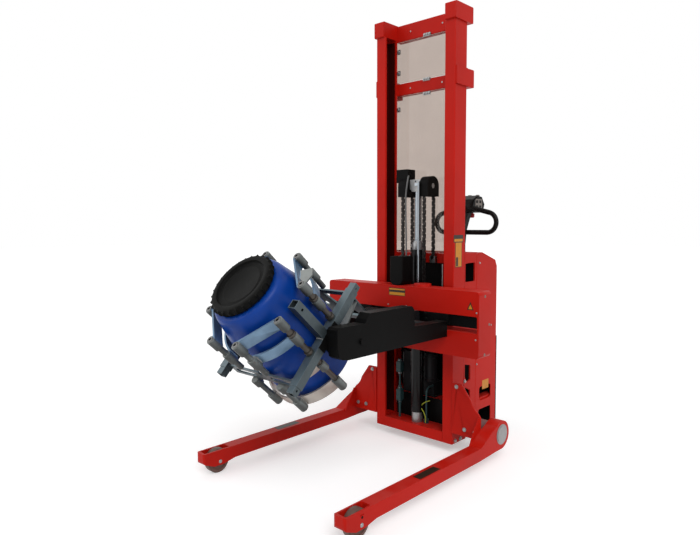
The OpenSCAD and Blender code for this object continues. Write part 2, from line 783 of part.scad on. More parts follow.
module clamp_rods() {
  color(steel) clamp_frame() both_sides() {
    for (a = [[ang_b, -96], [ang_c, w_end - 33]])
      bar_z(a[1], w_top + knuckle_half, ring_r * cos(a[0]), ring_r * sin(a[0]), clamp_rod_r);
    // Collars that hold the jaws' knuckles in place
    for (a = [ang_b, ang_c]) {
      bar_z(26, 40, ring_r * cos(a), ring_r * sin(a), clamp_rod_r + 6);
      bar_z(150, 160, ring_r * cos(a), ring_r * sin(a), clamp_rod_r + 6);
    }
  }
}
module pivot_hubs() {
  color(dark) clamp_frame() both_sides() {
    difference() {
      union() {
        bar_x(212 + tube_w, arm_in - 1, pivot_v, pivot_w, 54);
        box(212 + tube_w, arm_in - 1, -60, 70, -20, 20);
      }
      for (a = [0:60:300])
        bar_x(212 + tube_w - 1, arm_in, pivot_v + 40 * cos(a), pivot_w + 40 * sin(a), 4);
    }
    bar_x(212 + tube_w, arm_out - 12, pivot_v, pivot_w, 25);
    // Inner cross plate from the hub to the square tube
    box(222, 212 + tube_w, pivot_v - 40, pivot_v + 40, -86, -20);
  }
}
module front_slot_plate() {
  color(grey) clamp_frame() difference() {
    in_xz(-222, -214) difference() {
      soft_rect(-212, 212, -52, 8, 3);
      for (s = [-1, 1]) slot_line([s * 64, -22], [s * 171, -22], 14);
      circle(r = 11);
    }
  }
}
module rear_plate() {
  color(grey) clamp_frame() {
    in_xz(236, 244) difference() {
      soft_rect(-212, 212, -215, -10, 8);
      for (s = [-1, 1]) translate([s * 106, 0]) {
        polygon([[-70, -190], [70, -190], [34, -112], [70, -36], [-70, -36], [-34, -112]]);
      }
      translate([0, -112]) circle(r = 16);
    }
    // Stiffening rib along the plate
    in_xz(244, 252) soft_rect(-205, 205, -212, -198, 4);
  }
}
// A flat strap between two rods of the ring
module strap(a0, a1, w, h) {
  mid = (a0 + a1) / 2;
  half_len = ring_r * sin(abs(a1 - a0) / 2);
  rotate(mid) translate([strap_d, -half_len, w - h / 2]) cube([strap_t, 2 * half_len, h]);
}
// A strap bent round the drum between two rods of the ring
module bent_strap(a0, a1, w, h) {
  rotate(min(a0, a1)) rotate_extrude(angle = abs(a1 - a0))
    translate([arc_in, w - h / 2]) square([strap_t, h]);
}
module knuckle(a, w0, w1) {
  p = ring(a, ring_r);
  bar_z(w0 + 2, w1 - 2, p[0], p[1], knuckle_r);
  bar_z(w0, w1, p[0], p[1], knuckle_r - 2);
}
module lower_ring() {
  color(zinc) clamp_frame() {
    both_sides() {
      difference() {
        union() {
          for (a = [ang_c, ang_d]) {
            knuckle(a, w_low - 36, w_low + 6);
            knuckle(a, w_end - 33, w_end + 32);
          }
          bent_strap(ang_c, ang_d, w_low - 15, 34);
          bent_strap(ang_c, ang_d, w_end, strap_h);
          knuckle(ang_b, -96, -54);
          // Tripod plate from the rear rod's lower end to the rear plate
          in_xy(-80, -72) polygon([[200, 100], [236, 100], [211, 236], [150, 236]]);
        }
        bar_z(w_end - 34, 0, ring_r * cos(ang_c), ring_r * sin(ang_c), clamp_rod_r);
        bar_z(-100, 0, ring_r * cos(ang_b), ring_r * sin(ang_b), clamp_rod_r);
      }
      p = ring(ang_d, ring_r);
      bar_z(w_end - 20, w_low - 4, p[0], p[1], clamp_rod_r);
    }
    // Front strap of the lower ring, between the two front rods
    bent_strap(ang_d, -180 - ang_d, w_end, strap_h - 6);
  }
}
module jaw(hinge, tip) {
  h = ring(hinge, ring_r);
  p = ring(tip, ring_r);
  difference() {
    union() {
      knuckle(hinge, w_top - knuckle_half, w_top + knuckle_half);
      knuckle(hinge, w_mid - mid_half, w_mid + mid_half);
      knuckle(tip, w_top - knuckle_half, w_top + knuckle_half);
      knuckle(tip, w_mid - mid_half, w_mid + mid_half);
      strap(hinge, tip, w_top, strap_h - 5);
      bent_strap(hinge, tip, w_mid, strap_h - 11);
    }
    bar_z(0, 300, h[0], h[1], clamp_rod_r + bore_gap);
  }
  bar_z(38, w_top + knuckle_half, p[0], p[1], clamp_rod_r);
}
module front_jaw_right() {
  color(zinc) clamp_frame() jaw(ang_c, ang_d);
}
module front_jaw_left() {
  color(zinc) clamp_frame() mirror([1, 0, 0]) jaw(ang_c, ang_d);
}
module rear_jaw() {
  jaw(ang_b, ang_a);
  // Lug plate beside the hinge's upper knuckle
  difference() {
    in_xy(w_top + 20, w_top + 26) polygon([ring(ang_b, ring_r + 16), ring(ang_b + 8, ring_r + 44),
      ring(ang_b + 16, ring_r + 44), ring(ang_b + 21, ring_r - 14), ring(ang_b + 10, ring_r - 18)]);
    bar_z(200, 270, ring_r * cos(ang_b), ring_r * sin(ang_b), clamp_rod_r + bore_gap);
  }
}
module rear_jaw_right() {
  color(zinc) clamp_frame() rear_jaw();
}
module rear_jaw_left() {
  color(zinc) clamp_frame() mirror([1, 0, 0]) rear_jaw();
}

// The drum and its lid
neck_r = 134;
neck_z1 = 322;
lid_z0 = 303;
module drum_body() {
  color(blue) clamp_frame() rotate_extrude() difference() {
    polygon([[0, drum_z0], [187, drum_z0], [197, drum_z0 + 5], [drum_r, drum_z0 + 17],
      [drum_r, 118], [drum_r - 4, 148], [190, 188], [182, 228], [175, 258], [170, 280], [163, 295],
      [neck_r, 299], [neck_r, neck_z1], [0, neck_z1]]);
    polygon([[0, drum_z0 + drum_wall], [185, drum_z0 + drum_wall], [drum_r - 9, drum_z0 + 19],
      [drum_r - 9, 118], [drum_r - 13, 148], [181, 186], [173, 226], [166, 256], [160, 276],
      [neck_r - 9, 290], [neck_r - 9, neck_z1 + 1], [0, neck_z1 + 1]]);
    // Thread groove round the neck
    translate([neck_r - 1.5, 309]) square([3, 5]);
  }
}
module drum_lid() {
  color(dark) clamp_frame() {
    rotate_extrude() difference() {
      union() {
        translate([0, 323]) square([lid_r - 7, lid_z1 - 323]);
        translate([neck_r + run_gap, lid_z0]) square([lid_r - 6 - neck_r - run_gap, lid_z1 - 2 - lid_z0]);
      }
      translate([0, lid_z1 - 9]) square([117, 10]);
      translate([92, lid_z1 - 11]) square([6, 3]);
      translate([56, lid_z1 - 11]) square([6, 3]);
    }
    // Pointed grips round the rim
    for (i = [0:lid_grips - 1]) rotate(i * 360 / lid_grips) in_xy(lid_z0 + 2, lid_z1 - 3)
      polygon([[lid_r - 9, -11], [lid_r - 1, -3], [lid_r, 0], [lid_r - 1, 3], [lid_r - 9, 11]]);
    // Two raised bars across the middle
    for (a = [20, 110]) rotate(a) translate([-52, -4, lid_z1 - 10]) cube([104, 8, 5]);
  }
}

// The power unit behind the mast
module body_shape(d) {
  polygon([[body_y0 + d, 53], [body_y0 + d, body_top_z - 8 - d], [248, body_top_z - 3 - d],
    [278, body_top_z - d], [419 - d, 995 - d], [body_y1 - 8, 960], [body_y1 - 8, 53]]);
}
module body_housing() {
  color(red) machine() difference() {
    in_yz(-body_half, body_half) body_shape(0);
    // Hollow, open below and at the rear
    difference() {
      in_yz(-body_half + 4, body_half - 4) body_shape(4);
      box(-body_half, body_half, body_y0 - 1, body_y0 + 4, 40, 1100);
    }
    box(-body_half + 4, body_half - 4, body_y0 - 1, body_y1 + 1, 40, deck_z1 + 1);
    box(-body_half + 4, body_half - 4, body_y1 - 20, body_y1 + 1, 40, 950);
    // Wheel wells, side slots and the clearance for the deck
    in_yz(-body_half - 1, body_half + 1) soft_rect(256, 385, 30, 175, 12);
    in_yz(-body_half - 1, body_half + 1) soft_rect(263, 383, 224, 300, 16);
    // Air slots in the sloping top
    for (x = [-120:40:120]) box(x - 12, x + 12, 320, 330, 940, 1060);
  }
}
module rear_cover() {
  color(dark) machine() {
    difference() {
      in_xz(body_y1 - 8, body_y1 - 2) difference() {
        soft_rect(-body_half + 4, body_half - 4, deck_z1 + 1, 948, 10);
        translate([-122, deck_z1]) square([244, 80]);
      }
      for (z = [640:26:820]) box(-120, 120, body_y1 - 9, body_y1 - 1, z, z + 8);
    }
    both_sides() box(body_half - 18, body_half, body_y1 - 8, body_y1, 53, 563);
    // Aprons beside the drive wheel
    both_sides() box(122, body_half - 5, body_y1 - 2.5, body_y1 + 3, 60, 262);
  }
}
module battery_box() {
  color(dark) machine() {
    difference() {
      union() {
        box(-205, 205, 245, 415, deck_z1, 480);
        box(-209, 209, 241, 419, 462, 476);
        for (x = [-170, 170]) for (y = [275, 385]) bar_z(480, 492, x, y, 9);
        for (x = [-120:48:120]) bar_z(480, 488, x, 330, 16);
      }
      for (x = [-150:60:150]) box(x - 20, x + 20, 244, 248, 290, 440);
      // Pockets over the castors' stems
      both_sides() bar_z(deck_z1 - 1, deck_z1 + 17, castor_x, castor_y, 22);
    }
    // Black lining sheets in front of the housing and above the base's front beam
    box(-190, 190, body_y0 - 4.5, body_y0, deck_z1, 980);
    box(-190, 190, post_depth - 3, post_depth, post_foot_z + 55, deck_z1);
  }
}
module pump_unit() {
  color(dark) machine() {
    bar_z(316, 466, 4, 156, 44);
    bar_z(466, 474, 4, 156, 36);
    bar_z(330, 336, 4, 156, 47);
    bar_z(446, 452, 4, 156, 47);
    difference() {
      box(-48, 56, 122, 206, deck_z0, 316);
      bar_y(121, 135, -20, 280, 9);
      bar_y(121, 135, 24, 280, 9);
    }
    // Flange on the deck
    box(-66, 66, 116, 206, deck_z1, deck_z1 + 6);
    // Oil tank beside the pump
    in_xy(deck_z1, 470) soft_rect(-168, -52, 124, 204, 14);
    bar_z(470, 484, -110, 164, 18);
  }
}
module hydraulic_lines() {
  color(zinc) machine() {
    // Two valves one above the other beside the cylinder, on a pipe from the base
    for (z = [[193, 271], [359, 426]]) {
      bar_z(z[0], z[1], -130, lift_y, 13);
      bar_z(z[0] - 12, z[0], -130, lift_y, 9);
      bar_z(z[1], z[1] + 10, -130, lift_y, 10);
    }
    bar_z(270, 360, -130, lift_y, 6);
    bar_z(post_foot_z + 55, 185, -130, lift_y, 7);
    // Pipe from the base to the pump
    bar_z(post_foot_z + 55, 270, 50, 60, 5);
    translate([50, 90, 270]) rotate([0, -90, 0]) rotate([0, 0, -90]) rotate_extrude(angle = 90)
      translate([30, 0]) circle(r = 5);
    bar_y(90, 122, 50, 300, 5);
    box(40, 60, 50, 70, post_foot_z + 55, 128);
  }
}

// The drive unit, its wheel and the castors
module steer_unit() {
  color(dark) machine() {
    bar_z(deck_z0 - 6, deck_z1 + run_gap, 0, steer_y, 66);
    difference() {
      bar_z(deck_z1 + run_gap, deck_z1 + 12, 0, steer_y, 82);
      for (a = [0:45:315]) bar_z(deck_z1 + 6, deck_z1 + 13, 74 * cos(a), steer_y + 74 * sin(a), 4);
    }
    // Motor with its cooling fins
    bar_z(deck_z1 + 12, 540, 0, steer_y, 60);
    for (z = [270:22:500]) bar_z(z, z + 8, 0, steer_y, 66);
    bar_z(540, 560, 0, steer_y, 50);
    // Gear case beside the wheel
    difference() {
      union() {
        in_yz(40, 66) {
          translate([steer_y, drive_r]) circle(r = 52);
          translate([steer_y - 52, drive_r]) square([104, deck_z0 - 6 - drive_r]);
        }
        box(-40, 66, steer_y - 40, steer_y + 40, drive_r + drive_r + 3, deck_z0 - 6);
      }
      for (a = [0:60:300]) bar_x(62, 67, steer_y + 40 * cos(a), drive_r + 40 * sin(a), 4);
    }
    bar_x(-34, 40, steer_y, drive_r, 20);
    // Column, leaning forward at its top, and the two ears of the tiller's joint
    in_xy(560, 660) soft_rect(-30, 30, steer_y - 34, steer_y + 34, 10);
    in_yz(-30, 30) polygon([[steer_y - 33, 640], [steer_y + 33, 640], [steer_y + 20, 700],
      [tiller_y + 26, 748], [tiller_y - 18, 748], [tiller_y - 18, 716]]);
    both_sides() in_yz(22, 30) {
      translate([tiller_y, tiller_z]) circle(r = 18);
      translate([tiller_y - 17.5, tiller_z - 36]) square([35, 36]);
    }
    bar_x(-30, 30, tiller_y, tiller_z, 9);
  }
}
module drive_wheel() {
  color(dark) machine() difference() {
    union() {
      bar_x(-32, 32, steer_y, drive_r, drive_r);
      bar_x(-35, 35, steer_y, drive_r, drive_r - 5);
    }
    bar_x(-36, 36, steer_y, drive_r, 20 + bore_gap);
    for (s = [-36, 22]) difference() {
      bar_x(s, s + 14, steer_y, drive_r, 72);
      bar_x(s - 1, s + 15, steer_y, drive_r, 32);
    }
    for (a = [0:60:300])
      bar_x(-36, 36, steer_y + 52 * cos(a), drive_r + 52 * sin(a), 9);
  }
}
module castor_fork() {
  y = castor_y + castor_trail;
  // Stem through the deck, its nut and the two race rings
  bar_z(206, deck_z1 + 14, castor_x, castor_y, 12);
  bar_z(deck_z1 + 1, deck_z1 + 12, castor_x, castor_y, 19);
  bar_z(212, deck_z0 - 0.5, castor_x, castor_y, 36);
  bar_z(206, 212, castor_x, castor_y, 40);
  in_xy(200, 206) soft_rect(castor_x - 27, castor_x + 27, castor_y - 38, castor_y + 44, 8);
  for (s = [-1, 1]) translate([castor_x + s * 24, 0, 0]) difference() {
    in_yz(-3, 3) {
      polygon([[castor_y - 34, 201], [castor_y + 44, 201], [y + 16, castor_r], [y - 16, castor_r]]);
      translate([y, castor_r]) circle(r = 16);
    }
  }
  bar_x(castor_x - 30, castor_x + 30, y, castor_r, 7);
}
module castor_wheel() {
  y = castor_y + castor_trail;
  difference() {
    union() {
      bar_x(castor_x - 14, castor_x + 14, y, castor_r, castor_r);
      bar_x(castor_x - 17, castor_x + 17, y, castor_r, castor_r - 4);
      bar_x(castor_x - 19, castor_x + 19, y, castor_r, 16);
    }
    bar_x(castor_x - 20, castor_x + 20, y, castor_r, 7 + bore_gap);
    for (s = [-18, 12]) difference() {
      bar_x(castor_x + s, castor_x + s + 6, y, castor_r, 62);
      bar_x(castor_x + s - 1, castor_x + s + 7, y, castor_r, 26);
    }
  }
}
module castor_fork_right() {
  color(steel) machine() castor_fork();
}
module castor_fork_left() {
  color(steel) machine() mirror([1, 0, 0]) castor_fork();
}
module castor_wheel_right() {
  color(dark) machine() castor_wheel();
}
module castor_wheel_left() {
  color(dark) machine() mirror([1, 0, 0]) castor_wheel();
}

// The tiller
module tiller_arm() {
  color(dark) machine() difference() {
    union() {
      bar_x(-20, 20, tiller_y, tiller_z, 17);
      in_yz(-20, 20) polygon([[tiller_y - 16.5, tiller_z], [tiller_y + 16.5, tiller_z], [486, 1074],
        [498, 1154], [529, 1220], [552, 1262], [514, 1262], [490, 1220], [462, 1150], [453, 1074]]);
    }
    bar_x(-21, 21, tiller_y, tiller_z, 9 + bore_gap);
  }
}
// The handle: each side bends through an arc between its sloping top tube and the straight bar below
loop_bend_r = 58.5;
loop_slope = 14;
module handle_loop(loop_y) {
  bend_x = loop_half - loop_bend_r;
  bend_z = loop_low_z + loop_bend_r;
  both_sides() {
    translate([bend_x, loop_y, bend_z]) rotate([90, 0, 0]) rotate([0, 0, -90])
      rotate_extrude(angle = 180 - loop_slope) translate([loop_bend_r, 0]) circle(r = loop_r);
    translate([bend_x, loop_y, bend_z]) rotate([0, loop_slope, 0]) translate([0, 0, loop_bend_r])
      rotate([0, -90, 0]) translate([0, 0, -2]) cylinder(h = bend_x, r = loop_r + 0.6);
  }
  translate([-bend_x - 2, loop_y, loop_low_z]) rotate([0, 90, 0])
    cylinder(h = 2 * bend_x + 4, r = loop_r + 0.6);
}
module tiller_head() {
  loop_y = 515;
  color(dark) machine() {
    difference() {
      union() {
        in_yz(-48, 48) polygon([[501, 1296], [512, 1262], [612, 1262], [638, 1284], [rear_y, 1312],
          [618, 1356], [566, 1364], [516, 1340]]);
        in_yz(-54, 54) polygon([[508, 1302], [518, 1270], [606, 1267], [630, 1290], [638, 1312],
          [612, 1348], [566, 1356], [522, 1333]]);
      }
      // Seats of the thumb rockers and of the button below
      both_sides() bar_x(17.5, 36.5, 600, 1350, 18);
      bar_z(1250, 1296, 0, 586, 8 + bore_gap);
    }
    handle_loop(loop_y);
    bar_x(-42, 42, 600, 1350, 5);
  }
}
module belly_button() {
  color(red) machine() {
    bar_z(1232, 1236, 0, 586, 12);
    bar_z(1236, 1257, 0, 586, 15);
    bar_z(1257, 1290, 0, 586, 8);
  }
}
module thumb_rockers() {
  color(grey) machine() both_sides() difference() {
    union() {
      bar_x(18.5, 35.5, 600, 1350, 16);
      box(18.5, 35.5, 596, 612, 1358, 1369);
    }
    bar_x(18, 17.5 + 19, 600, 1350, 5 + bore_gap);
  }
}

// One line per piece
base_frame();
mast_post_left();
mast_post_right();
mast_cap_blocks();
mast_cross_beams();
mast_screen();
wing_plate_left();
wing_plate_right();
leg_left();
leg_right();
cross_tube();
chassis_bolts();
body_housing();
rear_cover();
battery_box();
pump_unit();
hydraulic_lines();
lift_barrel();
lift_gland();
chain_anchors();
rear_chain();
lift_rod();
crosshead();
sheave_covers();
chain_wraps();
sheaves();
carriage_frame();
carriage_cheeks();
carriage_housing();
slot_crossbar();
arm_left();
arm_right();
tilt_drive();
front_chain();
guide_rollers_low();
guide_rollers_high();
cage_tubes();
clamp_rods();
pivot_hubs();
front_slot_plate();
rear_plate();
lower_ring();
front_jaw_left();
front_jaw_right();
rear_jaw_left();
rear_jaw_right();
drum_body();
drum_lid();
front_roller_left();
front_roller_right();
steer_unit();
drive_wheel();
castor_fork_left();
castor_fork_right();
castor_wheel_left();
castor_wheel_right();
tiller_arm();
tiller_head();
belly_button();
thumb_rockers();
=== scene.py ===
"""Drum tipper: a walk-behind stacker with a mast, two straddle legs and a tilting drum clamp."""

import math

import bmesh
import bpy
import numpy as np
from mathutils import Matrix, Vector


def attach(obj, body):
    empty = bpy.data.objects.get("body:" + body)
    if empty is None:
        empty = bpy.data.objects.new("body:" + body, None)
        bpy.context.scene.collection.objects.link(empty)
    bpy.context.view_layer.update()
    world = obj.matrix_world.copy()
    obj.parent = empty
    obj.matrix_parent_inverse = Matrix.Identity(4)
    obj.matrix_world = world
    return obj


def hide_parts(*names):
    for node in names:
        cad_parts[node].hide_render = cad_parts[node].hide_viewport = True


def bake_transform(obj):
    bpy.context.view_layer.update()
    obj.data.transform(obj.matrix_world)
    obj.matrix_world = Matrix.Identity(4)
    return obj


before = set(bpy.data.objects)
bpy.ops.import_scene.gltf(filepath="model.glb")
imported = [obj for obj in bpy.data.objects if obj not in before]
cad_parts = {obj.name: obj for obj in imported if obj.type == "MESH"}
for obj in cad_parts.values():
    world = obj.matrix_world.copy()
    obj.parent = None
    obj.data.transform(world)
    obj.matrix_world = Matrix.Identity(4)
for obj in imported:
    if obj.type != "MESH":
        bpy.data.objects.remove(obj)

bl_info = {
    "name": "Drum tipper",
    "version": (1, 0, 0),
    "blender": (4, 5, 0),
    "location": "View3D > Sidebar > Drum tipper",
    "description": "Finishes, chains, drum, lid, hoses and plates of the drum tipper",
    "category": "Object",
}

# Edge roundings in metres: cut steel, thin sheet, hubs, the tiller, square tubes and the mast's posts
CUT_ROUND = 0.001
SHEET_ROUND = 0.0012
HUB_ROUND = 0.0015
TILLER_ROUND = 0.002
TUBE_ROUND = 0.0025
POST_ROUND = 0.007

# The three directions of the machine, to the right, to the rear and up, and the numbers of its axes
RIGHT = (1.0, 0.0, 0.0)
BACK = (0.0, 1.0, 0.0)
UP = (0.0, 0.0, 1.0)
AXIS_X, AXIS_Y, AXIS_Z = range(3)

# All places below are in millimetres from the mast's front face, the machine's middle and the floor
SHIFT_Y = 299.775
SIDES = (-1.0, 1.0)

# Outer faces of the posts, of the housing and of the carriage
POST_X = 257.0
HOUSING_X = 258.0
CARRIAGE_X = 494.0

# Front faces of the carriage and of the cross beams, and the beams' rivets
CARRIAGE_Y = -142.0
BEAM_Y = 107.0
RIVET_X = 105.0
RIVET_Z = (2248.0, 1943.5)

# The valves beside the cylinder
VALVE_X = -130.0

# The drum clamp: its middle, its lean, and places on its own axes
LEAN = math.radians(47.5)
CLAMP_Y = -897.0
CLAMP_Z = 737.0
RING_R = 243.0
STRAP_R = 228.5
ROD_ANGLES = {"rear_tip": 65.0, "rear_hinge": 20.0, "front_hinge": -22.0, "front_tip": -70.0}
W_TOP = 217.0
W_MID = 118.0
W_END = -207.0

# The lift cylinder, its sheaves and its chains
LIFT_X = -8.0
LIFT_Y = 54.0
CHAIN_X = 71.0
SHEAVE_R = 42.0
AXLE_Z = 1398.0
CHAIN_LOW = 600.0
ANCHOR_Z = 1014.0


# Places and shapes

def machine(points):
    """Scene metres of points in millimetres: y grows by the shift, then all is divided by 1000."""
    return (np.asarray(points, float) + (0.0, SHIFT_Y, 0.0)) / 1000.0


def clamp(points):
    """Scene metres of points on the leaning drum's own axes: the (v, w) pair turns by the lean."""
    u, v, w = np.moveaxis(np.asarray(points, float), -1, 0)
    y = CLAMP_Y + v * math.cos(LEAN) - w * math.sin(LEAN)
    z = CLAMP_Z + v * math.sin(LEAN) + w * math.cos(LEAN)
    return machine(np.stack([u, y, z], -1))


def grid_quads(rows, columns, wrap_rows=False, wrap_columns=False):
    """Quads of a grid: each joins (i, j), (i+1, j), (i+1, j+1) and (i, j+1), round the end if it
    wraps."""
    i = np.arange(rows if wrap_rows else rows - 1)[:, None]
    j = np.arange(columns if wrap_columns else columns - 1)[None, :]
    i2 = (i + 1) % rows
    j2 = (j + 1) % columns
    corners = [i * columns + j, i2 * columns + j, i2 * columns + j2, i * columns + j2]
    return np.stack(corners, -1).reshape(-1, 4)


class Shape:
    """Vertices and faces gathered for one piece, in scene metres."""

    def __init__(self):
        self.points = []
        self.faces = []
        self.count = 0

    def add(self, points, faces):
        """Adds an n by 3 array of points and rows of indices into it."""
        points = np.asarray(points, float).reshape(-1, 3)
        self.points.append(points)
        self.faces.extend((np.asarray(faces) + self.count).tolist())
        self.count += len(points)

    def grid(self, points, wrap_rows=False, wrap_columns=False):
        """Adds a rows by columns grid of points as quads."""
        rows, columns = points.shape[:2]
        self.add(points, grid_quads(rows, columns, wrap_rows, wrap_columns))

    def solids(self, outlines):
        """Adds solids of k points: outlines is solids by 2 faces by k points by 3."""
        number, _, k, _ = outlines.shape
        first = np.arange(number)[:, None] * 2 * k
        j = np.arange(k)
        j2 = (j + 1) % k
        for faces in (first + j[::-1], first + k + j):
            self.faces.extend((faces + self.count).tolist())
        side = np.stack([j, j2, k + j2, k + j], -1)
        self.add(outlines, (first[:, :, None] + side[None]).reshape(-1, 4))

    def piece(self, name, material, body, smooth=40.0, slot=None, closed=True):
        """Makes the object, closes its seams, turns its faces outward and lets it ride on a body."""
        mesh = bpy.data.meshes.new(name)
        mesh.from_pydata(np.concatenate(self.points).tolist(), [], self.faces)
        work = bmesh.new()
        work.from_mesh(mesh)
        bmesh.ops.remove_doubles(work, verts=work.verts, dist=2e-6)
        if closed:
            bmesh.ops.recalc_face_normals(work, faces=work.faces)
        work.to_mesh(mesh)
        work.free()
        mesh.polygons.foreach_set("use_smooth", np.ones(len(mesh.polygons), bool))
        mesh.set_sharp_from_angle(angle=math.radians(smooth))
        mesh.materials.append(material)
        made = bpy.data.objects.new(name, mesh)
        bpy.context.scene.collection.objects.link(made)
        if body:
            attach(made, body)
        return made


def smooth_path(points, steps=12):
    """A Catmull-Rom line through the points: on each span, half of
    2b + (c - a)t + (2a - 5b + 4c - d)t^2 + (3b - a - 3c + d)t^3."""
    p = np.asarray(points, float)
    p = np.concatenate([2 * p[:1] - p[1:2], p, 2 * p[-1:] - p[-2:-1]])
    a, b, c, d = (p[k:len(p) - 3 + k, None] for k in range(4))
    t = np.linspace(0.0, 1.0, steps, endpoint=False)[None, :, None]
    square = 2 * a - 5 * b + 4 * c - d
    cube = 3 * b - a - 3 * c + d
    cubic = 2 * b + (c - a) * t + square * t**2 + cube * t**3
    return np.concatenate([(cubic / 2).reshape(-1, p.shape[1]), p[-2:-1]])


def tube_points(path, radius, sides=12, reference=(0.0, 0.0, 1.0)):
    """Rings round a path: each point is the path plus the radius times cos(t) of the side direction
    and sin(t) of the one square to it. The ends come to a point on the path."""
    path = np.asarray(path, float)
    along = np.gradient(path, axis=0)
    along /= np.linalg.norm(along, axis=1, keepdims=True)
    side = np.cross(along, reference)
    side /= np.maximum(np.linalg.norm(side, axis=1, keepdims=True), 1e-9)
    over = np.cross(side, along)
    t = np.linspace(0.0, 2 * np.pi, sides, endpoint=False)[None, :, None]
    size = np.broadcast_to(np.asarray(radius, float), len(path))[:, None, None]
    rings = path[:, None] + size * (np.cos(t) * side[:, None] + np.sin(t) * over[:, None])
    caps = [np.broadcast_to(path[k], (1, sides, 3)) for k in (0, -1)]
    return np.concatenate([caps[0], rings, caps[1]])


def revolve_points(profile, turns=96):
    """Rings of a turned form: (r cos t, r sin t, h) for each (r, h) of the profile."""
    r, h = np.asarray(profile, float).T
    t = np.linspace(0.0, 2 * np.pi, turns, endpoint=False)
    x = r[:, None] * np.cos(t)
    y = r[:, None] * np.sin(t)
    return np.stack([x, y, np.broadcast_to(h[:, None], x.shape)], -1)


def rounded_outline(width, height, radius, steps=5):
    """Outline of a centred rectangle with round corners: a quarter circle about each corner's middle."""
    t = np.linspace(0.0, np.pi / 2, steps)
    quarter = np.stack([np.cos(t), np.sin(t)], -1) * radius
    turns = [(1, 1, 0), (-1, 1, 1), (-1, -1, 2), (1, -1, 3)]
    parts = []
    for sx, sy, k in turns:
        c, s = math.cos(k * math.pi / 2), math.sin(k * math.pi / 2)
        turned = quarter @ np.array([[c, s], [-s, c]])
        parts.append(turned + (sx * (width / 2 - radius), sy * (height / 2 - radius)))
    return np.concatenate(parts)


def turned_along(profile, axis, sign, turns=16):
    """A turned form of (r, h) points whose height runs along the axis, in the sign's direction."""
    points = revolve_points(profile, turns)
    order = {AXIS_X: (2, 0, 1), AXIS_Y: (0, 2, 1), AXIS_Z: (0, 1, 2)}[axis]
    points = points[..., order]
    points[..., axis] *= sign
    return points


def lathe(shape, profile, place, axis, sign, turns=16):
    """Adds a turned form whose height runs along an axis from a place of the machine."""
    shape.grid(machine(turned_along(profile, axis, sign, turns) + place), wrap_columns=True)


def cord(shape, path, radius, sides, reference):
    """Adds a round cord or bar along a path of the machine."""
    shape.grid(machine(tube_points(path, radius, sides, reference)), wrap_columns=True)


def hex_bolt(shape, place, axis, sign, size):
    """Adds a washer and a hexagon whose top is chamfered to 0.86 of its size, facing along an axis."""
    washer = np.array([(0.0, -0.6), (1.3 * size, -0.6), (1.3 * size, 0.12 * size),
                       (1.24 * size, 0.2 * size), (0.0, 0.2 * size)])
    head = np.array([(0.0, 0.1 * size), (size, 0.1 * size), (size, 0.72 * size),
                     (0.86 * size, 0.85 * size), (0.0, 0.85 * size)])
    lathe(shape, washer, place, axis, sign, 24)
    lathe(shape, head, place, axis, sign, 6)


def film(shape, centre, across, upward, width=0.0, height=0.0, thickness=0.6, radius=2.0, outline=None):
    """Adds a thin plate: a rectangle with round corners, or an outline, that lies on two unit directions
    about a centre and stands proud by its thickness."""
    flat = rounded_outline(width, height, radius) if outline is None else np.asarray(outline, float)
    across, upward = np.asarray(across, float), np.asarray(upward, float)
    out = np.cross(across, upward)
    face = np.asarray(centre, float) + flat[:, :1] * across + flat[:, 1:] * upward
    shape.solids(machine(np.stack([face - out * 0.1, face + out * thickness]))[None])


def weld_bead(shape, ends, place):
    """Adds a weld bead: a line whose radius swells by a fifth, with one ripple every 3 mm."""
    first, last = (np.asarray(end, float) for end in ends)
    length = np.linalg.norm(last - first)
    steps = max(6, int(length / 0.9))
    s = np.linspace(0.0, 1.0, steps)[:, None]
    ripple = 1.0 + 0.2 * np.sin(2 * np.pi * s[:, 0] * length / 3.0)
    ends_in = np.clip(np.minimum(s[:, 0], 1 - s[:, 0]) * length / 3.0, 0.35, 1.0)
    radius = 1000.0 * sizes().bead * ripple * ends_in
    reference = (0.3, 0.9, 0.2) if abs(last[0] - first[0]) > 0.5 * length else (1.0, 0.1, 0.2)
    shape.grid(place(tube_points(first + s * (last - first), radius, 8, reference)), wrap_columns=True)


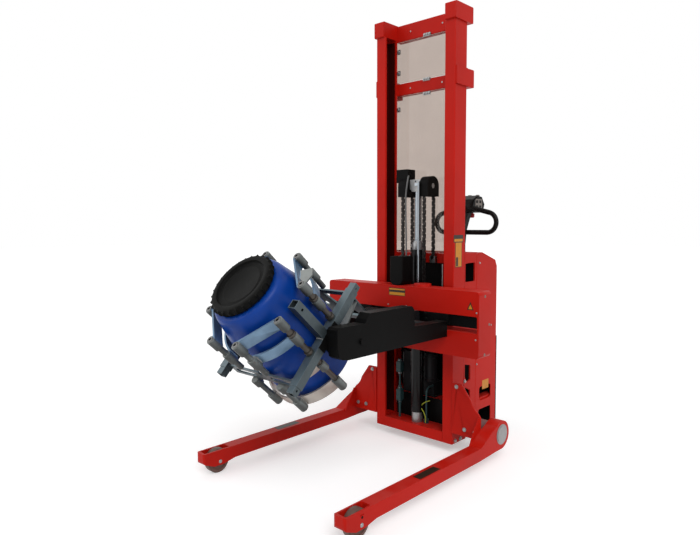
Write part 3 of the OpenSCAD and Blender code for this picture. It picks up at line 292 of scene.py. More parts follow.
def chain_links(shape, pins, x, pitch, height, pack):
    """Adds leaf chain to a shape along a row of pin places (y, z).

    A plate's outline is an arc of half its height about each of its two pins, and two waist points
    between them at 0.72 of that. Plates fill four layers; a layer's plates start at every other pin.
    """
    half = height / 2
    swing = np.radians([-78.0, -45.0, 0.0, 45.0, 78.0])
    far = np.stack([pitch + half * np.cos(swing), half * np.sin(swing)], -1)
    near = np.stack([-half * np.cos(swing), -half * np.sin(swing)], -1)
    waist = np.array([[pitch / 2, 0.72 * half]])
    outline = np.concatenate([far, waist, near, -waist + (pitch, 0.0)])
    layer = pack / 4
    span = pins[1:] - pins[:-1]
    span /= np.linalg.norm(span, axis=1, keepdims=True)
    for k in range(4):
        start = pins[k % 2:-1:2]
        along = span[k % 2::2]
        across = np.stack([-along[:, 1], along[:, 0]], -1)
        flat = start[:, None] + outline[None, :, :1] * along[:, None]
        flat = flat + outline[None, :, 1:] * across[:, None]
        sides = [x - pack / 2 + k * layer + 0.15, x - pack / 2 + (k + 1) * layer - 0.15]
        solid = np.empty((len(start), 2, len(outline), 3))
        solid[:, 0, :, 0] = sides[0]
        solid[:, 1, :, 0] = sides[1]
        solid[..., 1:] = flat[:, None]
        shape.solids(machine(solid))
    t = np.linspace(0.0, 2 * np.pi, 8, endpoint=False)
    ring = np.stack([np.cos(t), np.sin(t)], -1) * height * 0.2
    pin = np.empty((len(pins), 2, 8, 3))
    pin[:, 0, :, 0] = x - pack / 2 - 0.7
    pin[:, 1, :, 0] = x + pack / 2 + 0.7
    pin[..., 1:] = (pins[:, None] + ring[None])[:, None]
    shape.solids(machine(pin))


# Shader values written as sums

class Value:
    """A socket of a material's nodes; a sum, product or power of it adds a Math node."""

    def __init__(self, finish, socket):
        self.finish = finish
        self.socket = socket

    def join(self, operation, other, swapped=False):
        first, second = (other, self) if swapped else (self, other)
        return self.finish.node("ShaderNodeMath", {"operation": operation}, {0: first, 1: second})

    def __add__(self, other):
        return self.join("ADD", other)

    def __radd__(self, other):
        return self.join("ADD", other, True)

    def __sub__(self, other):
        return self.join("SUBTRACT", other)

    def __rsub__(self, other):
        return self.join("SUBTRACT", other, True)

    def __mul__(self, other):
        return self.join("MULTIPLY", other)

    def __rmul__(self, other):
        return self.join("MULTIPLY", other, True)

    def __pow__(self, other):
        return self.join("POWER", other)

    def above(self, low, high):
        """0 below low, 1 above high, and a smooth rise between them."""
        return self.finish.node(
            "ShaderNodeMapRange",
            {"interpolation_type": "SMOOTHSTEP", "clamp": True},
            {"Value": self, "From Min": low, "From Max": high},
        )


class Finish:
    """A material under construction: one principled surface, and the values that vary over it."""

    def __init__(self, name, **constants):
        self.material = bpy.data.materials.new(name)
        self.material.use_nodes = True
        self.tree = self.material.node_tree
        self.surface = self.tree.nodes["Principled BSDF"]
        for socket, value in constants.items():
            self.surface.inputs[socket.replace("_", " ")].default_value = value

    def node(self, kind, settings=None, inputs=None, output=0):
        """Adds a node, sets it, joins or fills its sockets, and returns one output as a Value."""
        made = self.tree.nodes.new(kind)
        for key, value in (settings or {}).items():
            if key == "stops":
                stops = made.color_ramp.elements
                while len(stops) < len(value):
                    stops.new(0.5)
                for stop, (place, tone) in zip(stops, value):
                    stop.position = place
                    stop.color = tone
            else:
                setattr(made, key, value)
        for key, value in (inputs or {}).items():
            self.fill(made.inputs[key], value)
        return Value(self, made.outputs[output])

    def fill(self, socket, value):
        if isinstance(value, Value):
            self.tree.links.new(value.socket, socket)
        else:
            socket.default_value = value

    def place(self, scale=(1.0, 1.0, 1.0), turn=(0.0, 0.0, 0.0)):
        """Object coordinates in metres, stretched and turned."""
        here = self.node("ShaderNodeTexCoord", output="Object")
        return self.node("ShaderNodeMapping", inputs={"Vector": here, "Rotation": turn, "Scale": scale})

    def noise(self, scale, detail=3.0, roughness=0.5, place=None, distortion=0.0):
        return self.node(
            "ShaderNodeTexNoise",
            inputs={
                "Vector": place or self.place(),
                "Scale": scale,
                "Detail": detail,
                "Roughness": roughness,
                "Distortion": distortion,
            },
        )

    def cells(self, scale, output="Distance"):
        inputs = {"Vector": self.place(), "Scale": scale}
        return self.node("ShaderNodeTexVoronoi", inputs=inputs, output=output)

    def part(self, vector, axis):
        return self.node("ShaderNodeSeparateXYZ", inputs={0: vector}, output=axis)

    def upward(self):
        """How far the surface faces up, from -1 to 1, with the object at rest."""
        return self.part(self.node("ShaderNodeTexCoord", output="Normal"), "Z")

    def mix(self, factor, first, second):
        """A colour between first and second."""
        return self.node("ShaderNodeMix", {"data_type": "RGBA"}, {0: factor, 6: first, 7: second}, 2)

    def relief(self, height, strength, distance, under=None):
        """A bump whose height is in parts of the distance, in metres."""
        inputs = {"Height": height, "Strength": strength, "Distance": distance}
        if under is not None:
            inputs["Normal"] = under
        return self.node("ShaderNodeBump", inputs=inputs)

    def done(self, **varying):
        """Joins the varying values to the surface and returns the material."""
        for socket, value in varying.items():
            self.fill(self.surface.inputs[socket.replace("_", " ")], value)
        return self.material


def linear(red, green, blue):
    """Scene colour of a colour seen as 0 to 255 on a screen."""
    tone = np.array([red, green, blue]) / 255.0
    curve = np.where(tone <= 0.04045, tone / 12.92, ((tone + 0.055) / 1.055) ** 2.4)
    return (*curve.tolist(), 1.0)


def shade(colour, factor):
    return tuple(min(1.0, c * factor) for c in colour[:3]) + (1.0,)


# Finishes

def painted(name, colour, rough=0.34, gloss=0.3, peel=0.35, dust=0.06, scuff=0.5, clear=0.15):
    """Sprayed paint: orange peel, faint clouding, dust on upper faces, fine rubs and chips low down."""
    f = Finish(name, Specular_IOR_Level=gloss, Coat_Roughness=0.12, Coat_Weight=clear)
    cloud = f.noise(2.2, 4.0)
    smear = f.noise(9.0, 6.0, 0.6, distortion=0.6)
    rubs = f.noise(30.0, 3.0, place=f.place((1.0, 1.0, 14.0), (0.4, 0.2, 0.0)))
    chips = f.cells(70.0)
    height = f.part(f.place(), "Z")
    up = f.upward()
    tone = f.mix(cloud.above(0.3, 0.7), shade(colour, 0.88), shade(colour, 1.1))
    rubbed = rubs.above(0.66, 0.74) * smear.above(0.5, 0.62) * (0.35 * scuff)
    tone = f.mix(rubbed, tone, shade(colour, 1.45))
    low = 1.0 - height.above(0.1, 0.42)
    chipped = (1.0 - chips.above(0.035, 0.06)) * smear.above(0.54, 0.6) * low * scuff
    tone = f.mix(chipped, tone, (0.09, 0.075, 0.07, 1.0))
    dusty = up.above(0.5, 1.0) * smear.above(0.35, 0.75) * dust
    tone = f.mix(dusty, tone, (0.42, 0.39, 0.35, 1.0))
    roughness = rough - 0.08 + smear * 0.16 + dusty * 1.2
    grain = f.noise(420.0, 2.0)
    swell = f.noise(60.0, 2.0)
    normal = f.relief(grain, 0.1 * peel, 0.0006, f.relief(swell, 0.12 * peel, 0.0016))
    return f.done(Base_Color=tone, Roughness=roughness, Normal=normal)


def plated(name, colour, rough=0.32, metal=0.9, spangle=0.35, streak=(1.0, 1.0, 1.0), painted_light=0.0):
    """Plated or galvanised steel: crystals, drawn streaks, stains, painted shade under and a painted
    highlight on top.
    """
    f = Finish(name)
    crystals = f.cells(55.0, output="Color")
    patch = f.part(crystals, "X")
    lines = f.noise(70.0, 4.0, 0.6, f.place(streak))
    smear = f.noise(7.0, 5.0, 0.6)
    tone = f.mix(patch * spangle, colour, shade(colour, 0.72))
    tone = f.mix(lines.above(0.35, 0.75) * 0.35, tone, shade(colour, 1.3))
    tone = f.mix(smear.above(0.5, 0.7) * 0.3, tone, shade(colour, 0.55))
    # Painted light: faces turned down get painted shade, faces turned up a painted highlight
    if painted_light:
        facing = f.upward()
        tone = f.mix((1.0 - facing.above(-0.4, 0.6)) * painted_light, tone, shade(colour, 0.22))
        tone = f.mix(facing.above(0.4, 0.9) * painted_light, tone, shade(colour, 1.7))
    roughness = rough + patch * 0.1 + smear * 0.18 - 0.12
    normal = f.relief(lines, 0.12, 0.0005, f.relief(f.noise(260.0, 2.0), 0.06, 0.0004))
    return f.done(Base_Color=tone, Roughness=roughness, Normal=normal, Metallic=metal)


def turned_steel(name, colour, rough=0.22, rings=(1.0, 1.0, 1.0), metal=1.0):
    """Machined steel: fine turning lines and light tarnish."""
    f = Finish(name)
    lines = f.noise(300.0, 2.0, place=f.place(rings))
    tarnish = f.noise(12.0, 5.0, 0.65)
    tone = f.mix(tarnish.above(0.45, 0.75) * 0.45, colour, shade(colour, 0.6))
    roughness = rough + lines * 0.12 + tarnish.above(0.4, 0.8) * 0.15 - 0.04
    normal = f.relief(lines, 0.08, 0.0003)
    return f.done(Base_Color=tone, Roughness=roughness, Normal=normal, Metallic=metal)


def moulded(name, colour, rough=0.42, gloss=0.35, grain=0.5, fade=0.06):
    """Moulded plastic: leather-like grain, rubbed patches and a little fading."""
    f = Finish(name, Specular_IOR_Level=gloss)
    leather = f.cells(900.0)
    wander = f.noise(5.0, 4.0)
    wear = f.noise(22.0, 5.0, 0.6)
    tone = f.mix(wander.above(0.3, 0.7), shade(colour, 1.0 - fade), shade(colour, 1.0 + fade * 2))
    tone = f.mix(wear.above(0.6, 0.72) * 0.25, tone, shade(colour, 1.6))
    roughness = rough - 0.06 + wear * 0.14
    normal = f.relief(leather, 0.12 * grain, 0.0004, f.relief(f.noise(25.0, 2.0), 0.08, 0.0012))
    return f.done(Base_Color=tone, Roughness=roughness, Normal=normal)


def rubbery(name, colour, rough=0.7):
    """Rubber or tyre polyurethane: fine pits and dusty patches."""
    f = Finish(name, Specular_IOR_Level=0.3)
    pits = f.noise(240.0, 4.0, 0.7)
    dirt = f.noise(14.0, 6.0, 0.65)
    tone = f.mix(dirt.above(0.45, 0.7) * 0.5, colour, (0.16, 0.145, 0.125, 1.0))
    roughness = rough + dirt * 0.2 - 0.1
    return f.done(Base_Color=tone, Roughness=roughness, Normal=f.relief(pits, 0.25, 0.0006))


def oiled(name, colour):
    """Oiled chain steel: a dark film, rubbed bright in spots."""
    f = Finish(name)
    film = f.noise(90.0, 5.0, 0.65)
    bright = f.noise(260.0, 2.0)
    tone = f.mix(film.above(0.5, 0.66) * 0.8, colour, shade(colour, 3.2))
    roughness = 0.28 + film * 0.3
    normal = f.relief(bright, 0.15, 0.0004)
    return f.done(Base_Color=tone, Roughness=roughness, Normal=normal, Metallic=0.85)


def drum_plastic(name, colour):
    """Blown plastic: slow waves in the wall, fine flow lines round it, and faint scuffs."""
    f = Finish(name, Specular_IOR_Level=0.16, Coat_Weight=0.03, Coat_Roughness=0.2)
    wave = f.noise(11.0, 3.0, 0.5)
    flow = f.noise(26.0, 4.0, 0.6, f.place((1.0, 1.0, 5.0), (-LEAN, 0.0, 0.0)))
    scuff = f.noise(55.0, 5.0, 0.7, distortion=0.8)
    tone = f.mix(wave.above(0.3, 0.7), shade(colour, 0.88), shade(colour, 1.12))
    tone = f.mix(scuff.above(0.62, 0.7) * 0.22, tone, shade(colour, 2.2))
    roughness = 0.3 + flow * 0.12 + scuff.above(0.5, 0.75) * 0.12
    normal = f.relief(flow, 0.08, 0.0012, f.relief(wave, 0.25, 0.0035))
    return f.done(Base_Color=tone, Roughness=roughness, Normal=normal)


def strap_steel(name, knuckle, strap):
    """Plated clamp steel: smooth straps near the drum, and greyer turned knuckles farther from its axis.

    The distance from the drum's axis is the length of the (u, v) part of the place on the clamp's own
    axes, which the mapping reaches by turning the object coordinates by the lean.
    """
    f = Finish(name)
    centre = Vector(clamp((0.0, 0.0, 0.0)))
    here = f.node("ShaderNodeTexCoord", output="Object")
    shifted = f.node("ShaderNodeVectorMath", {"operation": "SUBTRACT"}, {0: here, 1: tuple(centre)})
    turned = f.node("ShaderNodeMapping", inputs={"Vector": shifted, "Rotation": (-LEAN, 0.0, 0.0)})
    across, along = f.part(turned, "X"), f.part(turned, "Y")
    distance = (across ** 2.0 + along.join("ABSOLUTE", 0.0) ** 2.0) ** 0.5
    outer = distance.above((STRAP_R + 0.3) / 1000.0, (STRAP_R + 1.2) / 1000.0)
    smear = f.noise(9.0, 5.0, 0.6)
    rust = f.noise(60.0, 5.0, 0.7)
    band = f.mix(smear.above(0.35, 0.7), strap, shade(strap, 0.72))
    knob = f.mix(smear.above(0.3, 0.75), shade(knuckle, 1.15), shade(knuckle, 0.75))
    knob = f.mix(rust.above(0.56, 0.72) * 0.6, knob, linear(84, 66, 54))
    facing = f.upward()
    # Painted shade on the knuckles' faces turned down, and a painted highlight on their faces turned up
    knob = f.mix((1.0 - facing.above(-0.7, 0.5)) * 0.75, knob, linear(46, 46, 44))
    knob = f.mix(facing.above(0.35, 0.95) * 0.8, knob, linear(168, 170, 166))
    tone = f.mix(outer, band, knob)
    roughness = 0.3 + smear * 0.2 + outer * 0.1
    normal = f.relief(f.noise(260.0, 2.0), 0.08, 0.0004, f.relief(f.noise(30.0, 3.0), 0.08, 0.0012))
    return f.done(Base_Color=tone, Roughness=roughness, Normal=normal, Metallic=0.62)


def clear_sheet(name, colour):
    """Clear guard sheet: a light grey-beige tint with a faint haze, and wipe marks."""
    f = Finish(name, Specular_IOR_Level=0.4, Transmission_Weight=0.95, IOR=1.25)
    wipe = f.noise(14.0, 5.0, 0.6, f.place((1.0, 1.0, 0.35), (0.0, 0.5, 0.0)))
    haze = f.noise(2.5, 3.0)
    tone = f.mix(haze.above(0.3, 0.7), shade(colour, 0.94), shade(colour, 1.05))
    roughness = 0.01 + wipe.above(0.5, 0.8) * 0.05
    return f.done(Base_Color=tone, Roughness=roughness)


def bare_label(name, colour, edge):
    """A bare film: an even colour with fine grain and grubby patches of a second colour."""
    f = Finish(name, Specular_IOR_Level=0.35)
    grub = f.noise(45.0, 5.0, 0.65)
    tone = f.mix(grub.above(0.5, 0.75) * 0.4, colour, edge)
    roughness = 0.34 + grub * 0.2
    return f.done(Base_Color=tone, Roughness=roughness, Normal=f.relief(f.noise(500.0, 2.0), 0.06, 0.0003))


# Settings

class DrumTipperColours(bpy.types.PropertyGroup):
    """Colours of the paints and plastics."""

    def tone(name, description, default):
        return bpy.props.FloatVectorProperty(
            name=name, description=description, subtype="COLOR", size=4, min=0.0, max=1.0,
            default=default,
        )

    red: tone("Machine red", "Paint of the mast, legs, carriage and housing", linear(180, 24, 13))
    black: tone("Gear black", "Paint of the arms, hubs and drives", linear(9, 9, 9))
    barrel: tone("Barrel black", "Glossy paint of the lift barrel", linear(9, 9, 10))
    tube: tone("Tube grey", "Paint of the clamp's square tubes and plates", linear(92, 104, 109))
    zinc: tone("Zinc", "Plating of the clamp's straps and jaws", linear(112, 118, 118))
    drum: tone("Drum blue", "Plastic of the drum", linear(5, 54, 134))
    lid: tone("Lid black", "Plastic of the lid", linear(9, 9, 8))
    sheet: tone("Guard sheet", "Tint of the guard sheet", linear(186, 172, 163))
    label: tone("Label yellow", "Bare label plates", linear(196, 128, 26))


class DrumTipperSizes(bpy.types.PropertyGroup):
    """Sizes of the dressed pieces."""

    def size(name, description, default, low, high):
        return bpy.props.FloatProperty(
            name=name, description=description, unit="LENGTH", default=default, min=low, max=high
        )

    pitch: size("Chain pitch", "Distance between two chain pins", 0.015875, 0.0127, 0.019)
    link: size("Link height", "Height of a chain plate", 0.0124, 0.010, 0.013)
    pack: size("Chain width", "Width over the chain's plates", 0.018, 0.014, 0.020)
    hose: size("Hose radius", "Radius of the hose over the sheave", 0.0045, 0.003, 0.006)
    bead: size("Weld bead", "Radius of the weld beads", 0.0035, 0.002, 0.005)
    edge: size("Edge rounding", "Rounding of the folded and cut steel edges", 0.0018, 0.0, 0.004)


FINISHES = {}


def colours():
    return bpy.context.scene.drum_tipper_colours


def sizes():
    return bpy.context.scene.drum_tipper_sizes


def finish(key):
    """The finish of that name, made the first time it is asked for."""
    if key not in FINISHES:
        c = colours()
        across = (6.0, 1.0, 1.0)
        recipes = {
            "red": lambda: painted("Machine red", tuple(c.red), rough=0.4, gloss=0.1, clear=0.0),
            "black": lambda: painted("Gear black", tuple(c.black), rough=0.5, gloss=0.06, dust=0.03,
                                     scuff=0.3, clear=0.0),
            "barrel": lambda: painted("Barrel black", tuple(c.barrel), rough=0.26, gloss=0.16, peel=0.2,
                                      dust=0.02, scuff=0.2, clear=0.1),
            "motor": lambda: painted("Motor black", linear(26, 26, 28), rough=0.45, gloss=0.16, dust=0.08,
                                     clear=0.0),
            # A shaded dark red, painted shade for the insides of the posts' channels
            "track": lambda: painted("Painted channel shade red", linear(58, 9, 6), rough=0.5, gloss=0.05, clear=0.0),
            "valve": lambda: painted("Valve teal", linear(36, 60, 62), rough=0.42, gloss=0.25, dust=0.05,
                                     clear=0.0),
            # The tube finish has painted shade under the tubes and a painted highlight on their tops
            "tube": lambda: plated("Galvanised tube", tuple(c.tube), rough=0.36, metal=0.7,
                                   streak=(1.0, 6.0, 1.0), painted_light=0.7),
            "bright": lambda: plated("Bright plating", linear(150, 150, 150), rough=0.34, metal=0.75,
                                     spangle=0.2),
            # The straps' blue-grey is their plating with a painted reflection of the drum; the pale
            # straps' colour is a painted reflection of the floor
            "zinc": lambda: strap_steel("Zinc straps and knuckles", tuple(c.zinc), linear(118, 146, 172)),
            "floor_reflection_zinc": lambda: strap_steel("Straps with painted floor reflection", tuple(c.zinc), linear(176, 168, 160)),
            "chrome": lambda: turned_steel("Chromed rod", linear(150, 156, 162), 0.12, (1.0, 1.0, 6.0)),
            "steel": lambda: turned_steel("Machined steel", linear(120, 120, 119), 0.32, across),
            "rod": lambda: turned_steel("Hinge rod", linear(74, 69, 64), 0.38, across, metal=0.7),
            "chain": lambda: oiled("Oiled chain", linear(44, 41, 40)),
            "drum": lambda: drum_plastic("Drum plastic", tuple(c.drum)),
            "lid": lambda: moulded("Lid plastic", tuple(c.lid), rough=0.5, gloss=0.08, grain=0.8),
            "plastic": lambda: moulded("Black plastic", linear(13, 10, 9), rough=0.4, gloss=0.12),
            "cover": lambda: moulded("Cover plastic", linear(7, 6, 6), rough=0.5, gloss=0.07, grain=0.3),
            "grey_plastic": lambda: moulded("Grey plastic", linear(112, 104, 98), rough=0.45, gloss=0.3),
            "red_plastic": lambda: moulded("Red plastic", linear(170, 14, 16), rough=0.35, grain=0.2),
            "earth": lambda: moulded("Earth wire", linear(150, 156, 40), rough=0.4, gloss=0.3, grain=0.1),
            "nylon": lambda: rubbery("Roller nylon", linear(96, 70, 62), rough=0.5),
            "tread": lambda: rubbery("Wheel tread", linear(32, 30, 29), rough=0.68),
            "hose": lambda: rubbery("Hose cover", linear(92, 92, 92), rough=0.5),
            "sheet": lambda: clear_sheet("Guard sheet", tuple(c.sheet)),
            "label": lambda: bare_label("Bare label", tuple(c.label), linear(110, 66, 16)),
            "dark_label": lambda: bare_label("Dark label", linear(34, 24, 14), linear(70, 46, 20)),
        }
        FINISHES[key] = recipes[key]()
    return FINISHES[key]


def dress(names, key, rounding=0.0):
    """Gives CAD nodes a finish, and a small rounding to their edges if one is given."""
    for name in names:
        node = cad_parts[name]
        if not node.material_slots:
            node.data.materials.append(finish(key))
        for slot in node.material_slots:
            slot.material = finish(key)
        if rounding:
            weld = node.modifiers.new("Weld", "WELD")
            weld.merge_threshold = 0.00002
            bevel = node.modifiers.new("Rounded edges", "BEVEL")
            bevel.width = rounding
            bevel.segments = 2 if rounding < POST_ROUND else 4
            bevel.limit_method = "ANGLE"
            bevel.angle_limit = math.radians(38.0)
            bevel.use_clamp_overlap = True
            bevel.harden_normals = False


# Operators

class Operator(bpy.types.Operator):
    """Base of this add-on's operators."""

    bl_options = {"REGISTER", "UNDO"}


class SCENE_OT_tipper_camera(Operator):
    """Sets the camera at the photograph's view"""

    bl_idname = "scene.tipper_camera"
    bl_label = "Camera"

    def execute(self, context):
        turn = math.radians(43.071)
        dip = math.radians(4.157)
        roll = math.radians(-0.183)
        ahead = Vector((-math.sin(turn) * math.cos(dip), math.cos(turn) * math.cos(dip), -math.sin(dip)))
        right = ahead.cross(Vector((0.0, 0.0, 1.0))).normalized()
        above = right.cross(ahead)
        side = right * math.cos(roll) + above * math.sin(roll)
        top = above * math.cos(roll) - right * math.sin(roll)
        focal_pixels, photo_width = 606.787, 700.0
        lens = bpy.data.cameras.new("Camera")
        lens.sensor_width = 36.0
        lens.lens = focal_pixels / photo_width * lens.sensor_width
        lens.clip_start = 0.05
        camera = bpy.data.objects.new("Camera", lens)
        axes = Matrix((side, top, -ahead)).transposed().to_4x4()
        place = Vector(machine((1978.32, -2613.6, 1200.0)))
        camera.matrix_world = Matrix.Translation(place) @ axes
        context.scene.collection.objects.link(camera)
        context.scene.camera = camera
        return {"FINISHED"}


class SCENE_OT_tipper_stage(Operator):
    """Lays a plain pale floor and lights it like a studio"""

    bl_idname = "scene.tipper_stage"
    bl_label = "Stage and light"

    def execute(self, context):
        scene = context.scene
        scene.view_settings.view_transform = "Standard"
        floor_shape = Shape()
        reach = np.linspace(-30.0, 30.0, 9)
        x, y = np.meshgrid(reach, reach, indexing="ij")
        floor_shape.grid(np.stack([x, y, np.zeros_like(x)], -1))
        floor = floor_shape.piece("Floor", self.floor_finish(), None, closed=False)
        self.world(scene)
        self.sun("Key", (0.62, -0.42, 0.72), strength=1.5, softness=38.0)
        self.sun("Fill", (-0.55, -0.75, 0.35), strength=0.55, softness=60.0)
        return {"FINISHED"}

    def floor_finish(self):
        """A matt floor that the camera and glossy surfaces see a little lighter, so that it is white."""
        f = Finish("Pale floor", Roughness=0.9, Specular_IOR_Level=0.0)
        mottle = f.noise(1.4, 3.0)
        tone = f.mix(mottle, (0.80, 0.80, 0.80, 1.0), (0.82, 0.82, 0.82, 1.0))
        f.fill(f.surface.inputs["Base Color"], tone)
        seen = self.seen(f)
        white = (1.0, 1.0, 1.0, 1.0)
        glow = f.node("ShaderNodeEmission", inputs={"Color": white, "Strength": 0.36 * seen})
        both = f.node("ShaderNodeAddShader", inputs={0: Value(f, f.surface.outputs[0]), 1: glow})
        f.tree.links.new(both.socket, f.tree.nodes["Material Output"].inputs["Surface"])
        return f.material

    def seen(self, f):
        """1 on rays from the camera, off metal and through glass, else 0."""
        camera = f.node("ShaderNodeLightPath", output="Is Camera Ray")
        glossy = f.node("ShaderNodeLightPath", output="Is Glossy Ray")
        through = f.node("ShaderNodeLightPath", output="Is Transmission Ray")
        return camera.join("MAXIMUM", glossy).join("MAXIMUM", through)

    def world(self, scene):
        world = bpy.data.worlds.new("Studio")
        scene.world = world
        world.use_nodes = True
        f = Finish.__new__(Finish)
        f.tree = world.node_tree
        background = f.tree.nodes["Background"]
        background.inputs["Color"].default_value = (1.0, 1.0, 1.0, 1.0)
        seen = self.seen(f)
        f.fill(background.inputs["Strength"], 0.56 + seen * 0.44)

    def sun(self, name, toward, strength, softness):
        lamp = bpy.data.lights.new(name, "SUN")
        lamp.energy = strength
        lamp.angle = math.radians(softness)
        made = bpy.data.objects.new(name, lamp)
        made.rotation_mode = "QUATERNION"
        made.rotation_quaternion = Vector(toward).to_track_quat("Z", "Y")
        bpy.context.scene.collection.objects.link(made)


class SCENE_OT_tipper_chassis(Operator):
    """Paints the mast, the base, the legs and the housing"""

    bl_idname = "scene.tipper_chassis"
    bl_label = "Mast, legs and housing"

    def execute(self, context):
        edge = sizes().edge
        dress(["base_frame", "mast_cap_blocks", "mast_cross_beams", "wing_plate_left", "wing_plate_right",
               "leg_left", "leg_right", "body_housing"], "red", edge)
        dress(["mast_post_left", "mast_post_right"], "red", POST_ROUND)
        dress(["mast_screen"], "sheet")
        dress(["cross_tube"], "bright")
        self.tracks()
        self.shade_films()
        self.side_plates()
        self.tip_hole_shades()
        self.fasteners()
        dress(["rear_cover", "battery_box"], "cover", edge)
        return {"FINISHED"}

    def tracks(self):
        """Dark red films of painted shade inside both posts, on the web and the flanges where the rollers
        run.
        """
        web = ((246.4, 247.2), (13.2, 93.8))
        front_flange = ((204.0, 246.6), (13.0, 13.5))
        rear_flange = ((204.0, 246.6), (93.5, 94.0))
        shape = Shape()
        for side in SIDES:
            for (x0, x1), (y0, y1) in (web, front_flange, rear_flange):
                x = side * np.array([x0, x1, x1, x0])
                y = np.array([y0, y0, y1, y1])
                ends = [np.stack([x, y, np.full(4, z)], -1) for z in (110.0, 2205.0)]
                shape.solids(machine(ends)[None])
        shape.piece("painted_channel_shade", finish("track"), "chassis", slot="red_paint")

    def shade_films(self):
        """Dark films of painted shade behind the side plates' windows."""
        shape = Shape()
        for side in SIDES:
            film(shape, (side * 218.5, 217.2, 640.0), RIGHT, UP, 56.0, 790.0, 1.5)
        shape.piece("window_shade_films", finish("cover"), "chassis", slot="black_plastic")

    def side_plates(self):
        """Plates that carry the middle blocks over the posts' sides, and discs under the beams' rivets."""
        disc = np.array([(0.0, -0.5), (10.0, -0.5), (10.0, 0.4), (9.6, 0.5), (0.0, 0.5)])
        shape = Shape()
        for side in SIDES:
            film(shape, (side * POST_X, 56.0, 1941.5), (0.0, side, 0.0), UP, 102.0, 90.0, 8.0, 5.0)
            for z in RIVET_Z:
                lathe(shape, disc, (side * RIVET_X, BEAM_Y, z), AXIS_Y, -1.0, 32)
        shape.piece("middle_side_plates", finish("red"), "chassis", slot="red_paint")

    def tip_hole_shades(self):
        """Dark discs of painted shade for the holes above the rollers' pins in the legs' tips."""
        shape = Shape()
        for side in SIDES:
            film(shape, (side * 490.0, -958.0, 88.0), (0.0, side, 0.0), UP, 11.0, 11.0, 0.5, 5.4)
        shape.piece("tip_hole_shades", finish("cover"), "chassis", slot="black_plastic")

    def fasteners(self):
        """Makes the pins, the bolts, the rivets and the sheet's clips one piece."""
        shape = Shape()
        self.bolts(shape)
        self.clips(shape)
        piece = shape.piece("chassis_fasteners", finish("bright"), "chassis", slot="bright_steel")
        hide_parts("chassis_bolts")

    def bolts(self, shape):
        """Roller pins, bolts of the wing plates, posts and housing, and rivets on the beams."""
        pin = np.array([(0.0, 0.0), (7.5, 0.0), (9.0, 1.5), (9.0, 66.5), (7.5, 68.0), (0.0, 68.0)])
        rivet = np.array([(0.0, 0.4), (4.6, 0.4), (4.6, 0.8), (3.8, 1.2), (0.0, 1.2)])
        for side in SIDES:
            lathe(shape, pin, (side * 424.0, -960.0, 58.0), AXIS_X, side, 32)
            for x, z in ((285.0, 362.0), (335.0, 148.0), (396.0, 147.0)):
                hex_bolt(shape, (side * x, -5.0, z), AXIS_Y, -1.0, 8.5)
            for y, z in ((30.0, 62.0), (78.0, 62.0), (115.0, 362.0)):
                hex_bolt(shape, (side * POST_X, y, z), AXIS_X, side, 8.0)
            for y, z in ((252.0, 985.0), (323.0, 794.0), (378.0, 632.0), (320.0, 469.0), (233.0, 434.0)):
                hex_bolt(shape, (side * HOUSING_X, y, z), AXIS_X, side, 4.5)
            for z in RIVET_Z:
                lathe(shape, rivet, (side * RIVET_X, BEAM_Y, z), AXIS_Y, -1.0, 20)

    def clips(self, shape):
        """Plates with three nuts between the sheets and the beams, and single ones along the left post."""
        plate = 4.0
        for x, z in ((8.0, 2208.0), (6.0, 1974.0), (8.0, 1898.0)):
            film(shape, (x, BEAM_Y, z), RIGHT, UP, 48.0, 16.0, plate)
            for shift in (-16.0, 0.0, 16.0):
                hex_bolt(shape, (x + shift, BEAM_Y - plate, z + 2.0), AXIS_Y, -1.0, 6.5)
        for z in (2150.0, 2034.0, 1834.0):
            film(shape, (-183.0, BEAM_Y, z), RIGHT, UP, 20.0, 26.0, plate)
            hex_bolt(shape, (-185.0, BEAM_Y - plate, z), AXIS_Y, -1.0, 7.5)


class SCENE_OT_tipper_lift(Operator):
    """Finishes the lift cylinder, the crosshead, the sheaves and the pump"""

    bl_idname = "scene.tipper_lift"
    bl_label = "Lift cylinder and pump"

    def execute(self, context):
        dress(["lift_barrel"], "barrel")
        dress(["lift_gland", "crosshead"], "bright", CUT_ROUND)
        dress(["chain_anchors"], "steel", CUT_ROUND)
        dress(["lift_rod"], "chrome")
        dress(["sheave_covers"], "cover", SHEET_ROUND)
        dress(["sheaves"], "steel")
        dress(["pump_unit"], "motor", SHEET_ROUND)
        dress(["hydraulic_lines"], "valve")
        self.valves()
        return {"FINISHED"}

    def valves(self):
        """Square bodies round the two valves beside the cylinder, with a bright union at each end."""
        bodies, unions = Shape(), Shape()
        union = np.array([(7.0, 0.0), (11.0, 0.0), (11.0, 9.0), (9.5, 11.0), (7.0, 11.0)])
        for low, high in ((201.0, 263.0), (362.0, 420.0)):
            film(bodies, (VALVE_X, 69.0, (low + high) / 2), RIGHT, UP, 30.0, high - low, 30.0, 3.0)
            for z, sign in ((low, -1.0), (high, 1.0)):
                ring = turned_along(union, AXIS_Z, sign, 6) + (VALVE_X, 54.0, z)
                unions.grid(machine(ring), wrap_rows=True, wrap_columns=True)
        bodies.piece("valve_bodies", finish("valve"), "chassis", slot="black_paint")
        unions.piece("valve_unions", finish("bright"), "chassis", slot="bright_steel")


